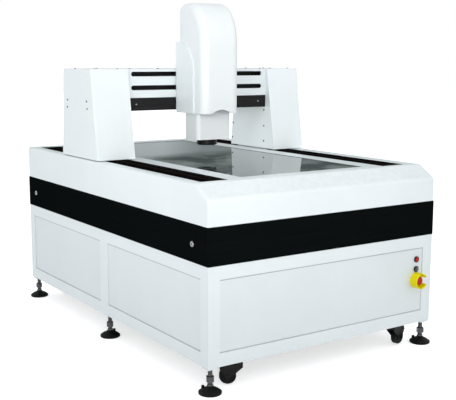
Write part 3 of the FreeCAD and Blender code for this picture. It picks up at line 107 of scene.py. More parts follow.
class MachineSizes(bpy.types.PropertyGroup):
    """Sizes of the small details and powers of the lamps"""

    frame_edge: length_choice("Frame edge", "Rounding of the frame tubes' edges", 0.0001, 0.006, 0.0022)
    sheet_edge: length_choice("Sheet edge", "Rounding of the bent sheet edges", 0.0001, 0.003, 0.0009)
    thread_pitch: length_choice(
        "Thread pitch", "Distance between the ridges of the feet's threads", 0.0005, 0.005, 0.002)
    screw_pitch: length_choice(
        "Lead screw pitch", "Distance between the ridges of the lens unit's screw", 0.001, 0.02, 0.005)
    dot_radius: length_choice("Small screw", "Radius of the smallest screw heads", 0.0005, 0.01, 0.0026)
    lamp_count: IntProperty(
        name="Lamps", description="Number of small lamps in each row of the ring light",
        min=8, max=96, default=36)
    key_light: power_choice("Key light", "Power of the main lamp", 36)
    fill_light: power_choice("Fill light", "Power of the lamp on the left", 1)
    front_light: power_choice("Front light", "Power of the low lamp beside the camera", 18)
    upper_light: power_choice("Upper light", "Power of the narrow lamp on the gantry", 4.1)
    side_light: power_choice("Side light", "Power of the narrow lamp that reaches in from the left", 3.0)
    inner_light: power_choice(
        "Inner light", "Power of the small lamp between the uprights, for light off the glass", 0.5, 100)
    room_light: FloatProperty(
        name="Room light", description="Strength of the light from all round", min=0, max=3, default=0.79)


# Shader helpers


class Tree:
    """A node tree with short ways to add nodes and join them."""

    def __init__(self, tree):
        self.tree = tree

    def node(self, kind, **values):
        """New node with its settings."""
        node = self.tree.nodes.new(kind)
        for name, value in values.items():
            setattr(node, name, value)
        return node

    def link(self, start, end):
        self.tree.links.new(start, end)

    def place(self):
        """Object coordinates of the surface."""
        return self.node("ShaderNodeTexCoord").outputs["Object"]

    def axes(self, vector):
        """The vector's parts, by the names X, Y and Z."""
        node = self.node("ShaderNodeSeparateXYZ")
        self.link(vector, node.inputs[0])
        return node.outputs

    def maths(self, operation, first, second=None, third=None):
        """Result of one sum on numbers or sockets."""
        node = self.node("ShaderNodeMath", operation=operation)
        for place, value in enumerate((first, second, third)):
            if value is None:
                continue
            if isinstance(value, (int, float)):
                node.inputs[place].default_value = value
            else:
                self.link(value, node.inputs[place])
        return node.outputs[0]

    def noise(self, vector, scale, detail=2.0, roughness=0.5):
        """Soft random pattern, about 0.5 in the middle."""
        node = self.node("ShaderNodeTexNoise")
        node.inputs["Detail"].default_value = detail
        node.inputs["Roughness"].default_value = roughness
        self.link(vector, node.inputs["Vector"])
        if isinstance(scale, (int, float)):
            node.inputs["Scale"].default_value = scale
        else:
            self.link(scale, node.inputs["Scale"])
        return node.outputs["Fac"]

    def spread(self, value, low, high, to_low=0.0, to_high=1.0):
        """The value's range from low to high, stretched to another range and held inside it."""
        node = self.node("ShaderNodeMapRange")
        node.inputs["From Min"].default_value = low
        node.inputs["From Max"].default_value = high
        node.inputs["To Min"].default_value = to_low
        node.inputs["To Max"].default_value = to_high
        self.link(value, node.inputs["Value"])
        return node.outputs["Result"]

    def mix(self, share, first, second):
        """The first colour where the share is 0, and the second where it is 1."""
        node = self.node("ShaderNodeMix", data_type="RGBA")
        colour_in = [socket for socket in node.inputs if socket.type == "RGBA"]
        if isinstance(share, (int, float)):
            node.inputs[0].default_value = share
        else:
            self.link(share, node.inputs[0])
        for socket, value in zip(colour_in, (first, second)):
            if isinstance(value, (tuple, list, Vector)):
                socket.default_value = (*value[:3], 1)
            else:
                self.link(value, socket)
        return [socket for socket in node.outputs if socket.type == "RGBA"][0]

    def stretched(self, vector, scale):
        """The vector with its own scale along each axis."""
        node = self.node("ShaderNodeMapping")
        node.inputs["Scale"].default_value = scale
        self.link(vector, node.inputs["Vector"])
        return node.outputs["Vector"]


def shader_group(name, inputs, outputs):
    """New shader node group with number inputs and outputs, and its tree, input node and output node."""
    group = bpy.data.node_groups.new(name, "ShaderNodeTree")
    for title, default in inputs:
        socket = group.interface.new_socket(title, in_out="INPUT", socket_type="NodeSocketFloat")
        socket.default_value = default
    for title in outputs:
        group.interface.new_socket(title, in_out="OUTPUT", socket_type="NodeSocketFloat")
    tree = Tree(group)
    return group, tree, tree.node("NodeGroupInput"), tree.node("NodeGroupOutput")


def paint_skin_group():
    """Fine orange peel, faint cloudiness and small rubs of a sprayed surface."""
    group, tree, entry, end = shader_group(
        "Paint Skin", [("Peel Scale", 420.0), ("Cloud Scale", 2.6)], ["Height", "Cloud", "Rub"])
    place = tree.place()
    peel = tree.noise(place, entry.outputs["Peel Scale"], 1.0)
    cloud = tree.noise(place, entry.outputs["Cloud Scale"], 3.0, 0.6)
    streak = tree.noise(tree.stretched(place, (1.0, 1.0, 0.18)), 23.0, 4.0, 0.62)
    tree.link(peel, end.inputs["Height"])
    tree.link(tree.spread(cloud, 0.3, 0.7), end.inputs["Cloud"])
    tree.link(tree.spread(streak, 0.55, 0.78), end.inputs["Rub"])
    return group


def dust_group():
    """Mask of fine dust that lies on what faces up."""
    group, tree, entry, end = shader_group("Dust", [("Amount", 0.3), ("Scale", 38.0)], ["Mask"])
    place = tree.place()
    patches = tree.spread(tree.noise(place, entry.outputs["Scale"], 5.0, 0.66), 0.4, 0.72)
    facing = tree.axes(tree.node("ShaderNodeNewGeometry").outputs["Normal"])
    upward = tree.spread(facing["Z"], 0.35, 0.95)
    mask = tree.maths("MULTIPLY", tree.maths("MULTIPLY", patches, upward), entry.outputs["Amount"])
    tree.link(mask, end.inputs["Mask"])
    return group


def brushed_group():
    """Long fine lines of a brushed or ground surface, along one axis."""
    group, tree, entry, end = shader_group(
        "Brushed Lines", [("Fine X", 4.0), ("Fine Y", 700.0), ("Fine Z", 700.0)], ["Lines", "Height"])
    place = tree.place()
    ratio = tree.node("ShaderNodeCombineXYZ")
    for axis in "XYZ":
        tree.link(entry.outputs["Fine " + axis], ratio.inputs[axis])
    product = tree.node("ShaderNodeVectorMath", operation="MULTIPLY")
    tree.link(place, product.inputs[0])
    tree.link(ratio.outputs[0], product.inputs[1])
    lines = tree.noise(product.outputs[0], 1.0, 3.0, 0.6)
    tree.link(tree.spread(lines, 0.3, 0.7), end.inputs["Lines"])
    tree.link(lines, end.inputs["Height"])
    return group


def shared_group(name):
    """The shader group of that name, built the first time that it is asked for."""
    makers = {"Paint Skin": paint_skin_group, "Dust": dust_group, "Brushed Lines": brushed_group}
    return bpy.data.node_groups.get(name) or makers[name]()


def placed_group(tree, name, **values):
    """Puts a shared group into a material's tree with its own values."""
    node = tree.node("ShaderNodeGroup", node_tree=shared_group(name))
    for title, value in values.items():
        node.inputs[title.replace("_", " ")].default_value = value
    return node


def scaled_colour(colour, share):
    """The colour made darker or paler, up to white."""
    return tuple(min(1.0, part * share) for part in colour[:3])


def empty_material(name):
    """New material and its tree, with no node in it yet."""
    material = bpy.data.materials.new(name)
    material.use_nodes = True
    material.node_tree.nodes.clear()
    return material, Tree(material.node_tree)


def blank_material(name, **values):
    """Material with a Principled shader whose plain values are on its own sockets."""
    material, tree = empty_material(name)
    shader = tree.node("ShaderNodeBsdfPrincipled")
    end = tree.node("ShaderNodeOutputMaterial")
    tree.link(shader.outputs[0], end.inputs["Surface"])
    for title, value in values.items():
        shader.inputs[title.replace("_", " ")].default_value = value
    return material, tree, shader


def add_bump(tree, shader, height, strength, distance):
    """Lets a height pattern tilt the shader's normals."""
    bump = tree.node("ShaderNodeBump")
    bump.inputs["Strength"].default_value = strength
    bump.inputs["Distance"].default_value = distance
    tree.link(height, bump.inputs["Height"])
    tree.link(bump.outputs["Normal"], shader.inputs["Normal"])


def painted(name, colour, roughness=0.36, peel=0.12, cloud=0.035, dust=0.25, coat=0.15):
    """Sprayed paint: orange peel, faint clouds of tone, rubs that shine more, and dust on top."""
    material, tree, shader = blank_material(name, Coat_Weight=coat, Coat_Roughness=0.22, IOR=1.5)
    skin = placed_group(tree, "Paint Skin")
    lying = placed_group(tree, "Dust", Amount=dust)
    tone = tree.mix(skin.outputs["Cloud"], scaled_colour(colour, 1 - cloud), colour)
    grey = tuple(0.55 * part + 0.12 for part in colour[:3])
    tree.link(tree.mix(lying.outputs["Mask"], tone, grey), shader.inputs["Base Color"])
    shine = tree.spread(skin.outputs["Rub"], 0, 1, roughness, roughness - 0.06)
    tree.link(tree.maths("MULTIPLY_ADD", lying.outputs["Mask"], 0.35, shine), shader.inputs["Roughness"])
    add_bump(tree, shader, skin.outputs["Height"], peel, 0.0004)
    return material


def sunk_panel_paint(name, colour):
    """Paint of the sunk panels, with painted shadow lines along the rails: a darker one at each panel's top
    edge, under the upper rail, and a fainter one at its bottom edge.
    """
    material, tree, shader = blank_material(name, Coat_Weight=0.15, Coat_Roughness=0.22, IOR=1.5)
    skin = placed_group(tree, "Paint Skin")
    level = tree.axes(tree.place())["Z"]
    low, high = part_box("side_panels")
    upper_width = 0.0030
    lower_width = 0.0018
    fade = 0.0012
    recess_shadow_grey = (0.16, 0.18, 0.185)
    # Painted shadow: the colour turns grey within a few millimetres of the top and bottom edges, where the
    # rails shade the sunk panel.
    upper = tree.spread(level, high.z - upper_width - fade, high.z - upper_width, 0.0, 0.62)
    lower = tree.spread(level, low.z + lower_width, low.z + lower_width + fade, 0.5, 0.0)
    recess_shadow = tree.maths("MAXIMUM", upper, lower)
    tone = tree.mix(skin.outputs["Cloud"], scaled_colour(colour, 0.95), colour)
    tree.link(tree.mix(recess_shadow, tone, recess_shadow_grey), shader.inputs["Base Color"])
    tree.link(tree.spread(skin.outputs["Rub"], 0, 1, 0.4, 0.34), shader.inputs["Roughness"])
    add_bump(tree, shader, skin.outputs["Height"], 0.12, 0.0004)
    return material


def moulded(name, colour, roughness=0.4, grain=0.25, coat=0.0, shine=0.5):
    """Moulded plastic or rubber with a fine grain."""
    material, tree, shader = blank_material(
        name, Coat_Weight=coat, Coat_Roughness=0.12, IOR=1.48, Specular_IOR_Level=shine)
    skin = placed_group(tree, "Paint Skin", Peel_Scale=900.0, Cloud_Scale=9.0)
    lying = placed_group(tree, "Dust", Amount=0.18, Scale=70.0)
    tone = tree.mix(skin.outputs["Cloud"], scaled_colour(colour, 0.86), colour)
    dusty = tuple(0.8 * part + 0.04 for part in colour[:3])
    tree.link(tree.mix(lying.outputs["Mask"], tone, dusty), shader.inputs["Base Color"])
    tree.link(tree.spread(skin.outputs["Rub"], 0, 1, roughness, roughness - 0.07), shader.inputs["Roughness"])
    add_bump(tree, shader, skin.outputs["Height"], grain, 0.0003)
    return material


def metal(name, colour, roughness=0.3, lines=(4.0, 700.0, 700.0), depth=0.1):
    """Ground, turned or brushed metal with lines along one axis."""
    material, tree, shader = blank_material(name, Metallic=1.0, IOR=1.5)
    brushed = placed_group(tree, "Brushed Lines", Fine_X=lines[0], Fine_Y=lines[1], Fine_Z=lines[2])
    tone = tree.mix(brushed.outputs["Lines"], scaled_colour(colour, 0.86), scaled_colour(colour, 1.06))
    tree.link(tone, shader.inputs["Base Color"])
    shine = tree.spread(brushed.outputs["Lines"], 0, 1, roughness - 0.05, roughness + 0.08)
    tree.link(shine, shader.inputs["Roughness"])
    add_bump(tree, shader, brushed.outputs["Height"], depth, 0.0002)
    return material


def dark_plate(name, colour, roughness, lines, depth=0.08, lift=2.2, shine=0.12):
    """Dark painted plate with a faint brushed look under it."""
    material, tree, shader = blank_material(name, Specular_IOR_Level=shine, IOR=1.5)
    brushed = placed_group(tree, "Brushed Lines", Fine_X=lines[0], Fine_Y=lines[1], Fine_Z=lines[2])
    skin = placed_group(tree, "Paint Skin")
    lying = placed_group(tree, "Dust", Amount=0.12)
    tone = tree.mix(brushed.outputs["Lines"], colour, scaled_colour(colour, lift))
    tree.link(tree.mix(lying.outputs["Mask"], tone, (0.02, 0.02, 0.02)), shader.inputs["Base Color"])
    tree.link(tree.spread(skin.outputs["Rub"], 0, 1, roughness, roughness - 0.08), shader.inputs["Roughness"])
    add_bump(tree, shader, brushed.outputs["Height"], depth, 0.0002)
    return material


def slot_strip_material(colour):
    """Black cover strip with a brownish line along its middle and fine cross ribs."""
    material, tree, shader = blank_material("Slot strip", Specular_IOR_Level=0.0, IOR=1.45)
    place = tree.place()
    axes = tree.axes(place)
    low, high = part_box("slot_strips")
    bed_middle = (low.x + high.x) / 2
    strip_middle = high.x - (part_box("stage_surround")[0].x - low.x) / 2 - bed_middle
    rib_pitch = 0.006
    line_half_width = 0.0035
    line_fade = 0.0025
    across = tree.maths("ABSOLUTE", tree.maths("SUBTRACT", axes["X"], bed_middle))
    from_middle = tree.maths("ABSOLUTE", tree.maths("SUBTRACT", across, strip_middle))
    # A brownish line of wavering strength runs along the middle of each strip, on the black.
    line = tree.spread(from_middle, line_half_width, line_half_width + line_fade, 1.0, 0.0)
    wave = tree.noise(tree.stretched(place, (1.0, 0.25, 1.0)), 30.0, 4.0)
    middle_line = tree.maths("MULTIPLY", line, tree.spread(wave, 0.25, 0.7, 0.25, 1.0))
    ribs = tree.maths("SINE", tree.maths("MULTIPLY", axes["Y"], 2 * math.pi / rib_pitch))
    skin = placed_group(tree, "Paint Skin", Peel_Scale=700.0, Cloud_Scale=11.0)
    tone = tree.mix(skin.outputs["Cloud"], colour, scaled_colour(colour, 2.0))
    middle_brown = (0.030, 0.024, 0.019)
    tree.link(tree.mix(middle_line, tone, middle_brown), shader.inputs["Base Color"])
    tree.link(tree.spread(skin.outputs["Rub"], 0, 1, 0.5, 0.4), shader.inputs["Roughness"])
    add_bump(tree, shader, ribs, 0.12, 0.0004)
    return material


def stage_glass_material(colour):
    """Polished plate glass, grey-green, with faint streaks along it in its roughness and bump, and lighter
    and darker streaks in its colour that are painted reflections.
    """
    material, tree, shader = blank_material(
        "Stage glass", Transmission_Weight=0.0, Metallic=0.0, IOR=1.85, Specular_IOR_Level=0.5)
    streaks = placed_group(tree, "Brushed Lines", Fine_X=2.0, Fine_Y=120.0, Fine_Z=40.0)
    skin = placed_group(tree, "Paint Skin", Cloud_Scale=3.2)
    # Painted reflection: the colour turns lighter and darker in streaks along the glass, for what the glass
    # mirrors.
    tone = tree.mix(streaks.outputs["Lines"], scaled_colour(colour, 0.82), scaled_colour(colour, 1.16))
    tree.link(tree.mix(skin.outputs["Cloud"], tone, scaled_colour(colour, 0.92)), shader.inputs["Base Color"])
    tree.link(tree.spread(streaks.outputs["Lines"], 0, 1, 0.008, 0.028), shader.inputs["Roughness"])
    add_bump(tree, shader, streaks.outputs["Height"], 0.015, 0.0001)
    return material


def granite_material():
    """Lapped black granite with pale and dark crystals."""
    material, tree, shader = blank_material("Granite", IOR=1.5)
    place = tree.place()
    cells = tree.node("ShaderNodeTexVoronoi")
    cells.inputs["Scale"].default_value = 260.0
    tree.link(place, cells.inputs["Vector"])
    speck = tree.spread(cells.outputs["Distance"], 0.1, 0.5)
    cloud = tree.spread(tree.noise(place, 90.0, 5.0, 0.7), 0.4, 0.7)
    base = tree.mix(speck, (0.05, 0.05, 0.053), (0.012, 0.012, 0.013))
    tree.link(tree.mix(cloud, base, (0.085, 0.085, 0.09)), shader.inputs["Base Color"])
    tree.link(tree.spread(cloud, 0, 1, 0.26, 0.4), shader.inputs["Roughness"])
    return material


def light_panel_material():
    """Diffuser of the backlight, switched off, with a faint prism pattern."""
    material, tree, shader = blank_material("Light panel", Roughness=0.45, IOR=1.49)
    grain = tree.noise(tree.place(), 500.0, 1.0)
    tree.link(tree.mix(grain, (0.22, 0.25, 0.245), (0.3, 0.33, 0.325)), shader.inputs["Base Color"])
    add_bump(tree, shader, grain, 0.1, 0.0003)
    return material


def lens_glass_material():
    """Coated front element of the lens."""
    material, tree, shader = blank_material("Lens element", Roughness=0.03, IOR=1.6, Coat_Weight=1.0)
    tint = tree.noise(tree.place(), 30.0, 1.0)
    tree.link(tree.mix(tint, (0.012, 0.008, 0.03), (0.02, 0.03, 0.035)), shader.inputs["Base Color"])
    return material


FINISHES = {}


def machine_materials():
    """Every finish of the machine, made once, by name."""
    if FINISHES:
        return FINISHES
    tint = bpy.context.scene.machine_colours
    paint = tuple(tint.paint)
    shell = tuple(tint.shell)
    black = tuple(tint.black)
    steel = tuple(tint.steel)
    FINISHES.update({
        "frame_paint": painted("Frame paint", paint, 0.38),
        "panel_paint": sunk_panel_paint("Panel paint", scaled_colour(paint, 0.955)),
        "casing_paint": painted("Casing paint", scaled_colour(paint, 1.02), 0.38, coat=0.12),
        "cover_paint": painted("Cover paint", scaled_colour(paint, 1.015), 0.42, coat=0.08),
        "head_shell": painted("Head shell", shell, 0.42, peel=0.05, cloud=0.02, dust=0.12, coat=0.08),
        "band_black": dark_plate(
            "Band black", tuple(tint.band), 0.5, (3.0, 3.0, 380.0), depth=0.03, lift=1.6, shine=0.0),
        "beam_black": dark_plate(
            "Beam plate", tuple(tint.beam), 0.4, (5.0, 300.0, 420.0), depth=0.12, lift=3.0, shine=0.08),
        "strip_black": slot_strip_material(tuple(tint.strip)),
        "glass": stage_glass_material(tuple(tint.glass)),
        "light_panel": light_panel_material(),
        "granite": granite_material(),
        "steel": metal("Ground steel", steel, 0.3, (700.0, 5.0, 700.0)),
        "screw_steel": metal(
            "Plated screws", scaled_colour(steel, 0.55), 0.24, (260.0, 260.0, 260.0), depth=0.05),
        "magnet": metal("Magnet track", scaled_colour(steel, 0.8), 0.34, (600.0, 8.0, 600.0)),
        "coil": moulded("Motor coil", (0.02, 0.02, 0.024), 0.5, grain=0.4),
        # Painted shade: the beam and the X drive behind the beam cover's slots are made black, for the shade
        # seen through the slots.
        "slot_shade_black": dark_plate(
            "Slot shade black", (0.006, 0.006, 0.0065), 0.5, (3.0, 400.0, 400.0), depth=0.05, lift=1.8),
        "aluminium": metal("Aluminium", (0.6, 0.61, 0.63), 0.38, (600.0, 600.0, 6.0), depth=0.15),
        "black_iron": dark_plate("Black casting", black, 0.5, (90.0, 90.0, 90.0), depth=0.4, shine=0.1),
        "screw_socket_shade": metal("Screw socket shade", (0.12, 0.12, 0.125), 0.35, (300.0, 300.0, 300.0)),
        # Painted shade in part: this steel is far darker than the screws' steel, for the shade under the
        # cabinet where the studs stand; the head's small screws use it too.
        "stud_steel": metal("Plated studs", scaled_colour(steel, 0.15), 0.2, (300.0, 300.0, 300.0)),
        "caster_black": dark_plate(
            "Caster black", black, 0.34, (60.0, 60.0, 60.0), depth=0.1, lift=1.8, shine=0.16),
        "wheel_black": dark_plate(
            "Wheel", scaled_colour(black, 1.4), 0.5, (40.0, 40.0, 40.0), depth=0.2, lift=2.0, shine=0.1),
        "bezel_black": dark_plate(
            "Switch body", black, 0.3, (50.0, 50.0, 50.0), depth=0.05, lift=1.5, shine=0.2),
        "guard_yellow": moulded("Yellow guard", tuple(tint.guard), 0.34, grain=0.12, coat=0.03, shine=0.15),
        "button_red": moulded("Red button", tuple(tint.button), 0.3, grain=0.08, coat=0.05, shine=0.2),
        "key_silver": metal("Key barrel", scaled_colour(steel, 0.5), 0.2, (300.0, 300.0, 300.0), depth=0.06),
        "inlet_black": moulded("Mains inlet", (0.015, 0.015, 0.015), 0.42, grain=0.3),
        "box_grey": painted("Control box", (0.28, 0.29, 0.3), 0.45),
        "lens_black": dark_plate(
            "Lens barrel", (0.01, 0.01, 0.011), 0.3, (240.0, 240.0, 900.0), depth=0.2, lift=1.8),
        "camera_red": painted("Camera body", (0.05, 0.06, 0.075), 0.35, peel=0.2, dust=0.1),
        "ring_black": dark_plate(
            "Ring light", black, 0.3, (50.0, 50.0, 300.0), depth=0.05, lift=1.6, shine=0.14),
        "motor_black": painted("Motor", (0.015, 0.015, 0.017), 0.4, peel=0.3, dust=0.1),
        "lens_element": lens_glass_material(),
        "seal": moulded("Glass seal", (0.018, 0.021, 0.02), 0.5, grain=0.2),
        "lamp": moulded("Lamp", (0.62, 0.6, 0.5), 0.15, grain=0.02, coat=0.5),
        # Painted shade: black for the inner faces of the beam cover and the walls of the deck's slots.
        "slot_wall_shade": dark_plate(
            "Slot wall shade", (0.004, 0.004, 0.004), 0.6, (3.0, 300.0, 300.0), depth=0.05, lift=1.5, shine=0.0),
    })
    return FINISHES


# Mesh helpers


def dress(*nodes, finish=None):
    """Gives each CAD piece the finish named, or the one of its own slot."""
    for node in nodes:
        piece = frame["nodes"][node]
        material = machine_materials()[finish or SLOT_OF[node]]
        if not piece.material_slots:
            piece.data.materials.append(material)
        for slot in piece.material_slots:
            slot.material = material


def smooth(mesh):
    """Smooth shading with sharp edges kept where faces meet at more than the sharp angle."""
    for polygon in mesh.polygons:
        polygon.use_smooth = True
    mesh.set_sharp_from_angle(angle=SHARP_ANGLE)


def new_piece(name, mesh, finish, body):
    """Finished piece at the origin that rides on one body."""
    mesh.materials.clear()
    mesh.materials.append(machine_materials()[finish])
    piece = bpy.data.objects.new(name, mesh)
    bpy.context.scene.collection.objects.link(piece)
    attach(piece, body)
    return piece


def mesh_from(bm, name):
    """Plain mesh of the shape, with smooth shading and the sharp edges found anew."""
    mesh = bpy.data.meshes.new(name)
    bm.to_mesh(mesh)
    bm.free()
    for spare in ("custom_normal", "sharp_edge", "sharp_face"):
        if spare in mesh.attributes:
            mesh.attributes.remove(mesh.attributes[spare])
    smooth(mesh)
    return mesh


def merged_copy(node):
    """The piece's CAD shape as one joined mesh with flat faces made whole."""
    bm = bmesh.new()
    bm.from_mesh(frame["nodes"][node].data)
    bmesh.ops.remove_doubles(bm, verts=bm.verts, dist=MERGE_DISTANCE)
    bmesh.ops.dissolve_degenerate(bm, edges=bm.edges, dist=0.000005)
    bmesh.ops.dissolve_limit(bm, angle_limit=FLAT_ANGLE, verts=bm.verts, edges=bm.edges)
    return bm


def finished_mesh(mesh, kind, **values):
    """The mesh as one modifier leaves it, plain again."""
    holder = bpy.data.objects.new(mesh.name, mesh)
    bpy.context.scene.collection.objects.link(holder)
    modifier = holder.modifiers.new(kind.title(), kind)
    for title, value in values.items():
        setattr(modifier, title, value)
    depsgraph = bpy.context.evaluated_depsgraph_get()
    shaped = bpy.data.meshes.new_from_object(holder.evaluated_get(depsgraph))
    bpy.data.objects.remove(holder)
    return shaped


def welded_copy(node):
    """Merged copy whose touching solids are one skin, as a welded and painted frame has."""
    bm = merged_copy(node)
    parts = bpy.data.meshes.new(node)
    bm.to_mesh(parts)
    bm.free()
    nothing_else = bpy.data.collections.new("Weld")
    skin = finished_mesh(
        parts, "BOOLEAN", operation="UNION", solver="EXACT", use_self=True, operand_type="COLLECTION",
        collection=nothing_else)
    bpy.data.collections.remove(nothing_else)
    bm = bmesh.new()
    bm.from_mesh(skin)
    bmesh.ops.remove_doubles(bm, verts=bm.verts, dist=MERGE_DISTANCE)
    bmesh.ops.dissolve_limit(bm, angle_limit=FLAT_ANGLE, verts=bm.verts, edges=bm.edges)
    return bm


def soften(node, width, shortest=0.008, angle=40.0, welded=False):
    """Stands for a CAD piece with its long outer edges rounded."""
    bm = welded_copy(node) if welded else merged_copy(node)
    limit = math.radians(angle)
    edges = []
    for edge in bm.edges:
        if len(edge.link_faces) != 2 or edge.calc_length() < shortest:
            continue
        if edge.is_convex and edge.calc_face_angle() > limit:
            edges.append(edge)
    if edges:
        bmesh.ops.bevel(
            bm, geom=edges, offset=width, offset_type="OFFSET", segments=2, profile=0.5, affect="EDGES",
            clamp_overlap=True, harden_normals=False)
    mesh = finished_mesh(mesh_from(bm, node), "WEIGHTED_NORMAL", keep_sharp=True, weight=90)
    piece = new_piece(node + "_soft", mesh, SLOT_OF[node], BODY_OF[node])
    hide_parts(node)
    return piece


def darken_inside(piece):
    """Paints the beam cover's inner faces black, as painted shade inside the cover, seen through its slots.
    """
    low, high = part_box("beam_cover")
    reach = 0.02
    piece.data.materials.append(machine_materials()["slot_wall_shade"])
    # Painted shade: the inner faces of the front wall, the top and the rear wall turn black.
    for face in piece.data.polygons:
        centre = face.center
        normal = face.normal
        front_back = normal.y > 0.5 and centre.y < low.y + reach
        under_top = normal.z < -0.5 and centre.z > high.z - reach
        rear_inside = normal.y < -0.5 and centre.y > high.y - reach
        if front_back or under_top or rear_inside:
            face.material_index = 1


def shade_slot_walls(piece):
    """Paints the walls of the deck's two long slots black, as painted shade inside the slots."""
    piece.data.materials.append(machine_materials()["slot_wall_shade"])
    strip_low, strip_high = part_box("slot_strips")
    deck_low, deck_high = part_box("stage_surround")
    margin = 0.009
    overlap = 0.010
    near = 0.004
    walls = (strip_low.x - margin, deck_low.x, deck_high.x, strip_high.x + margin)
    ends = (strip_low.y + overlap, strip_high.y - overlap)
    # Painted shade: the side walls and end walls of the slots turn black.
    for face in piece.data.polygons:
        centre = face.center
        across = abs(face.normal.x) > 0.9 and min(abs(centre.x - wall) for wall in walls) < near
        over_slot = walls[0] < centre.x < walls[1] or walls[2] < centre.x < walls[3]
        along = abs(face.normal.y) > 0.9 and over_slot and min(abs(centre.y - end) for end in ends) < near
        if across or along:
            face.material_index = 1


def darken_side_screws(piece):
    """Leaves the dark plate's two screws bright and paints the others dark, as painted shade in their
    sockets.
    """
    low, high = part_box("beam_band")
    behind_face = low.y + 0.004
    half_width = high.x - 0.02
    # Painted shade: the screws on the white covers are dark for the shade in their sockets.
    piece.data.materials.append(machine_materials()["screw_socket_shade"])
    for face in piece.data.polygons:
        centre = face.center
        on_band = centre.y < behind_face and abs(centre.x) < half_width and low.z < centre.z < high.z
        face.material_index = 0 if on_band else 1


def points_mesh(name, places, directions=None):
    """Mesh of bare points, with the outward direction of each."""
    mesh = bpy.data.meshes.new(name)
    mesh.from_pydata([tuple(place) for place in places], [], [])
    if directions:
        attribute = mesh.attributes.new("outward", "FLOAT_VECTOR", "POINT")
        for item, direction in zip(attribute.data, directions):
            item.vector = tuple(direction)
    return mesh


class Growing(Tree):
    """A Geometry Nodes tree with named inputs that ends in realized geometry with a material."""

    def __init__(self, name, inputs):
        super().__init__(bpy.data.node_groups.new(name, "GeometryNodeTree"))
        self.tree.interface.new_socket("Geometry", in_out="INPUT", socket_type="NodeSocketGeometry")
        for title, kind, default in inputs:
            socket = self.tree.interface.new_socket(title, in_out="INPUT", socket_type=kind)
            socket.default_value = default
        self.tree.interface.new_socket("Finish", in_out="INPUT", socket_type="NodeSocketMaterial")
        self.tree.interface.new_socket("Geometry", in_out="OUTPUT", socket_type="NodeSocketGeometry")
        self.entry = self.node("NodeGroupInput")

    def end(self, geometry):
        """Joins the geometry to the tree's output, as real faces with the finish on them."""
        realized = self.node("GeometryNodeRealizeInstances")
        finish = self.node("GeometryNodeSetMaterial")
        end = self.node("NodeGroupOutput")
        self.link(geometry, realized.inputs[0])
        self.link(realized.outputs[0], finish.inputs["Geometry"])
        self.link(self.entry.outputs["Finish"], finish.inputs["Material"])
        self.link(finish.outputs[0], end.inputs[0])
        return self.tree


def screws_tree():
    """Small round screw heads on points, each turned to face outwards."""
    tree = Growing("Small screws", [
        ("Radius", "NodeSocketFloat", 0.0026),
        ("Height", "NodeSocketFloat", 0.001),
    ])
    both = tree.node("GeometryNodeJoinGeometry")
    for wider, taller in ((1.0, 1.0), (0.78, 1.5)):
        round_part = tree.node("GeometryNodeMeshCylinder")
        round_part.inputs["Vertices"].default_value = 16
        tree.link(tree.maths("MULTIPLY", tree.entry.outputs["Radius"], wider), round_part.inputs["Radius"])
        tree.link(tree.maths("MULTIPLY", tree.entry.outputs["Height"], taller), round_part.inputs["Depth"])
        tree.link(round_part.outputs["Mesh"], both.inputs[0])
    outward = tree.node("GeometryNodeInputNamedAttribute", data_type="FLOAT_VECTOR")
    outward.inputs["Name"].default_value = "outward"
    turn = tree.node("FunctionNodeAlignRotationToVector", axis="Z")
    tree.link(outward.outputs["Attribute"], turn.inputs["Vector"])
    placed = tree.node("GeometryNodeInstanceOnPoints")
    tree.link(tree.entry.outputs["Geometry"], placed.inputs["Points"])
    tree.link(both.outputs[0], placed.inputs["Instance"])
    tree.link(turn.outputs[0], placed.inputs["Rotation"])
    return tree.end(placed.outputs[0])


def thread_tree():
    """Stacks of thin ridges round each point's upright axis, as a thread shows from outside."""
    tree = Growing("Thread ridges", [
        ("Radius", "NodeSocketFloat", 0.008),
        ("Pitch", "NodeSocketFloat", 0.002),
        ("Depth", "NodeSocketFloat", 0.0006),
        ("Count", "NodeSocketInt", 10),
    ])
    ring = tree.node("GeometryNodeCurvePrimitiveCircle")
    ring.inputs["Resolution"].default_value = 20
    tree.link(tree.entry.outputs["Radius"], ring.inputs["Radius"])
    section = tree.node("GeometryNodeCurvePrimitiveCircle")
    section.inputs["Resolution"].default_value = 4
    tree.link(tree.entry.outputs["Depth"], section.inputs["Radius"])
    ridge = tree.node("GeometryNodeCurveToMesh")
    tree.link(ring.outputs["Curve"], ridge.inputs["Curve"])
    tree.link(section.outputs["Curve"], ridge.inputs["Profile Curve"])
    step = tree.node("ShaderNodeCombineXYZ")
    tree.link(tree.entry.outputs["Pitch"], step.inputs["Z"])
    line = tree.node("GeometryNodeMeshLine", mode="OFFSET")
    tree.link(tree.entry.outputs["Count"], line.inputs["Count"])
    tree.link(step.outputs[0], line.inputs["Offset"])
    stack = tree.node("GeometryNodeInstanceOnPoints")
    tree.link(line.outputs[0], stack.inputs["Points"])
    tree.link(ridge.outputs[0], stack.inputs["Instance"])
    placed = tree.node("GeometryNodeInstanceOnPoints")
    tree.link(tree.entry.outputs["Geometry"], placed.inputs["Points"])
    tree.link(stack.outputs[0], placed.inputs["Instance"])
    return tree.end(placed.outputs[0])


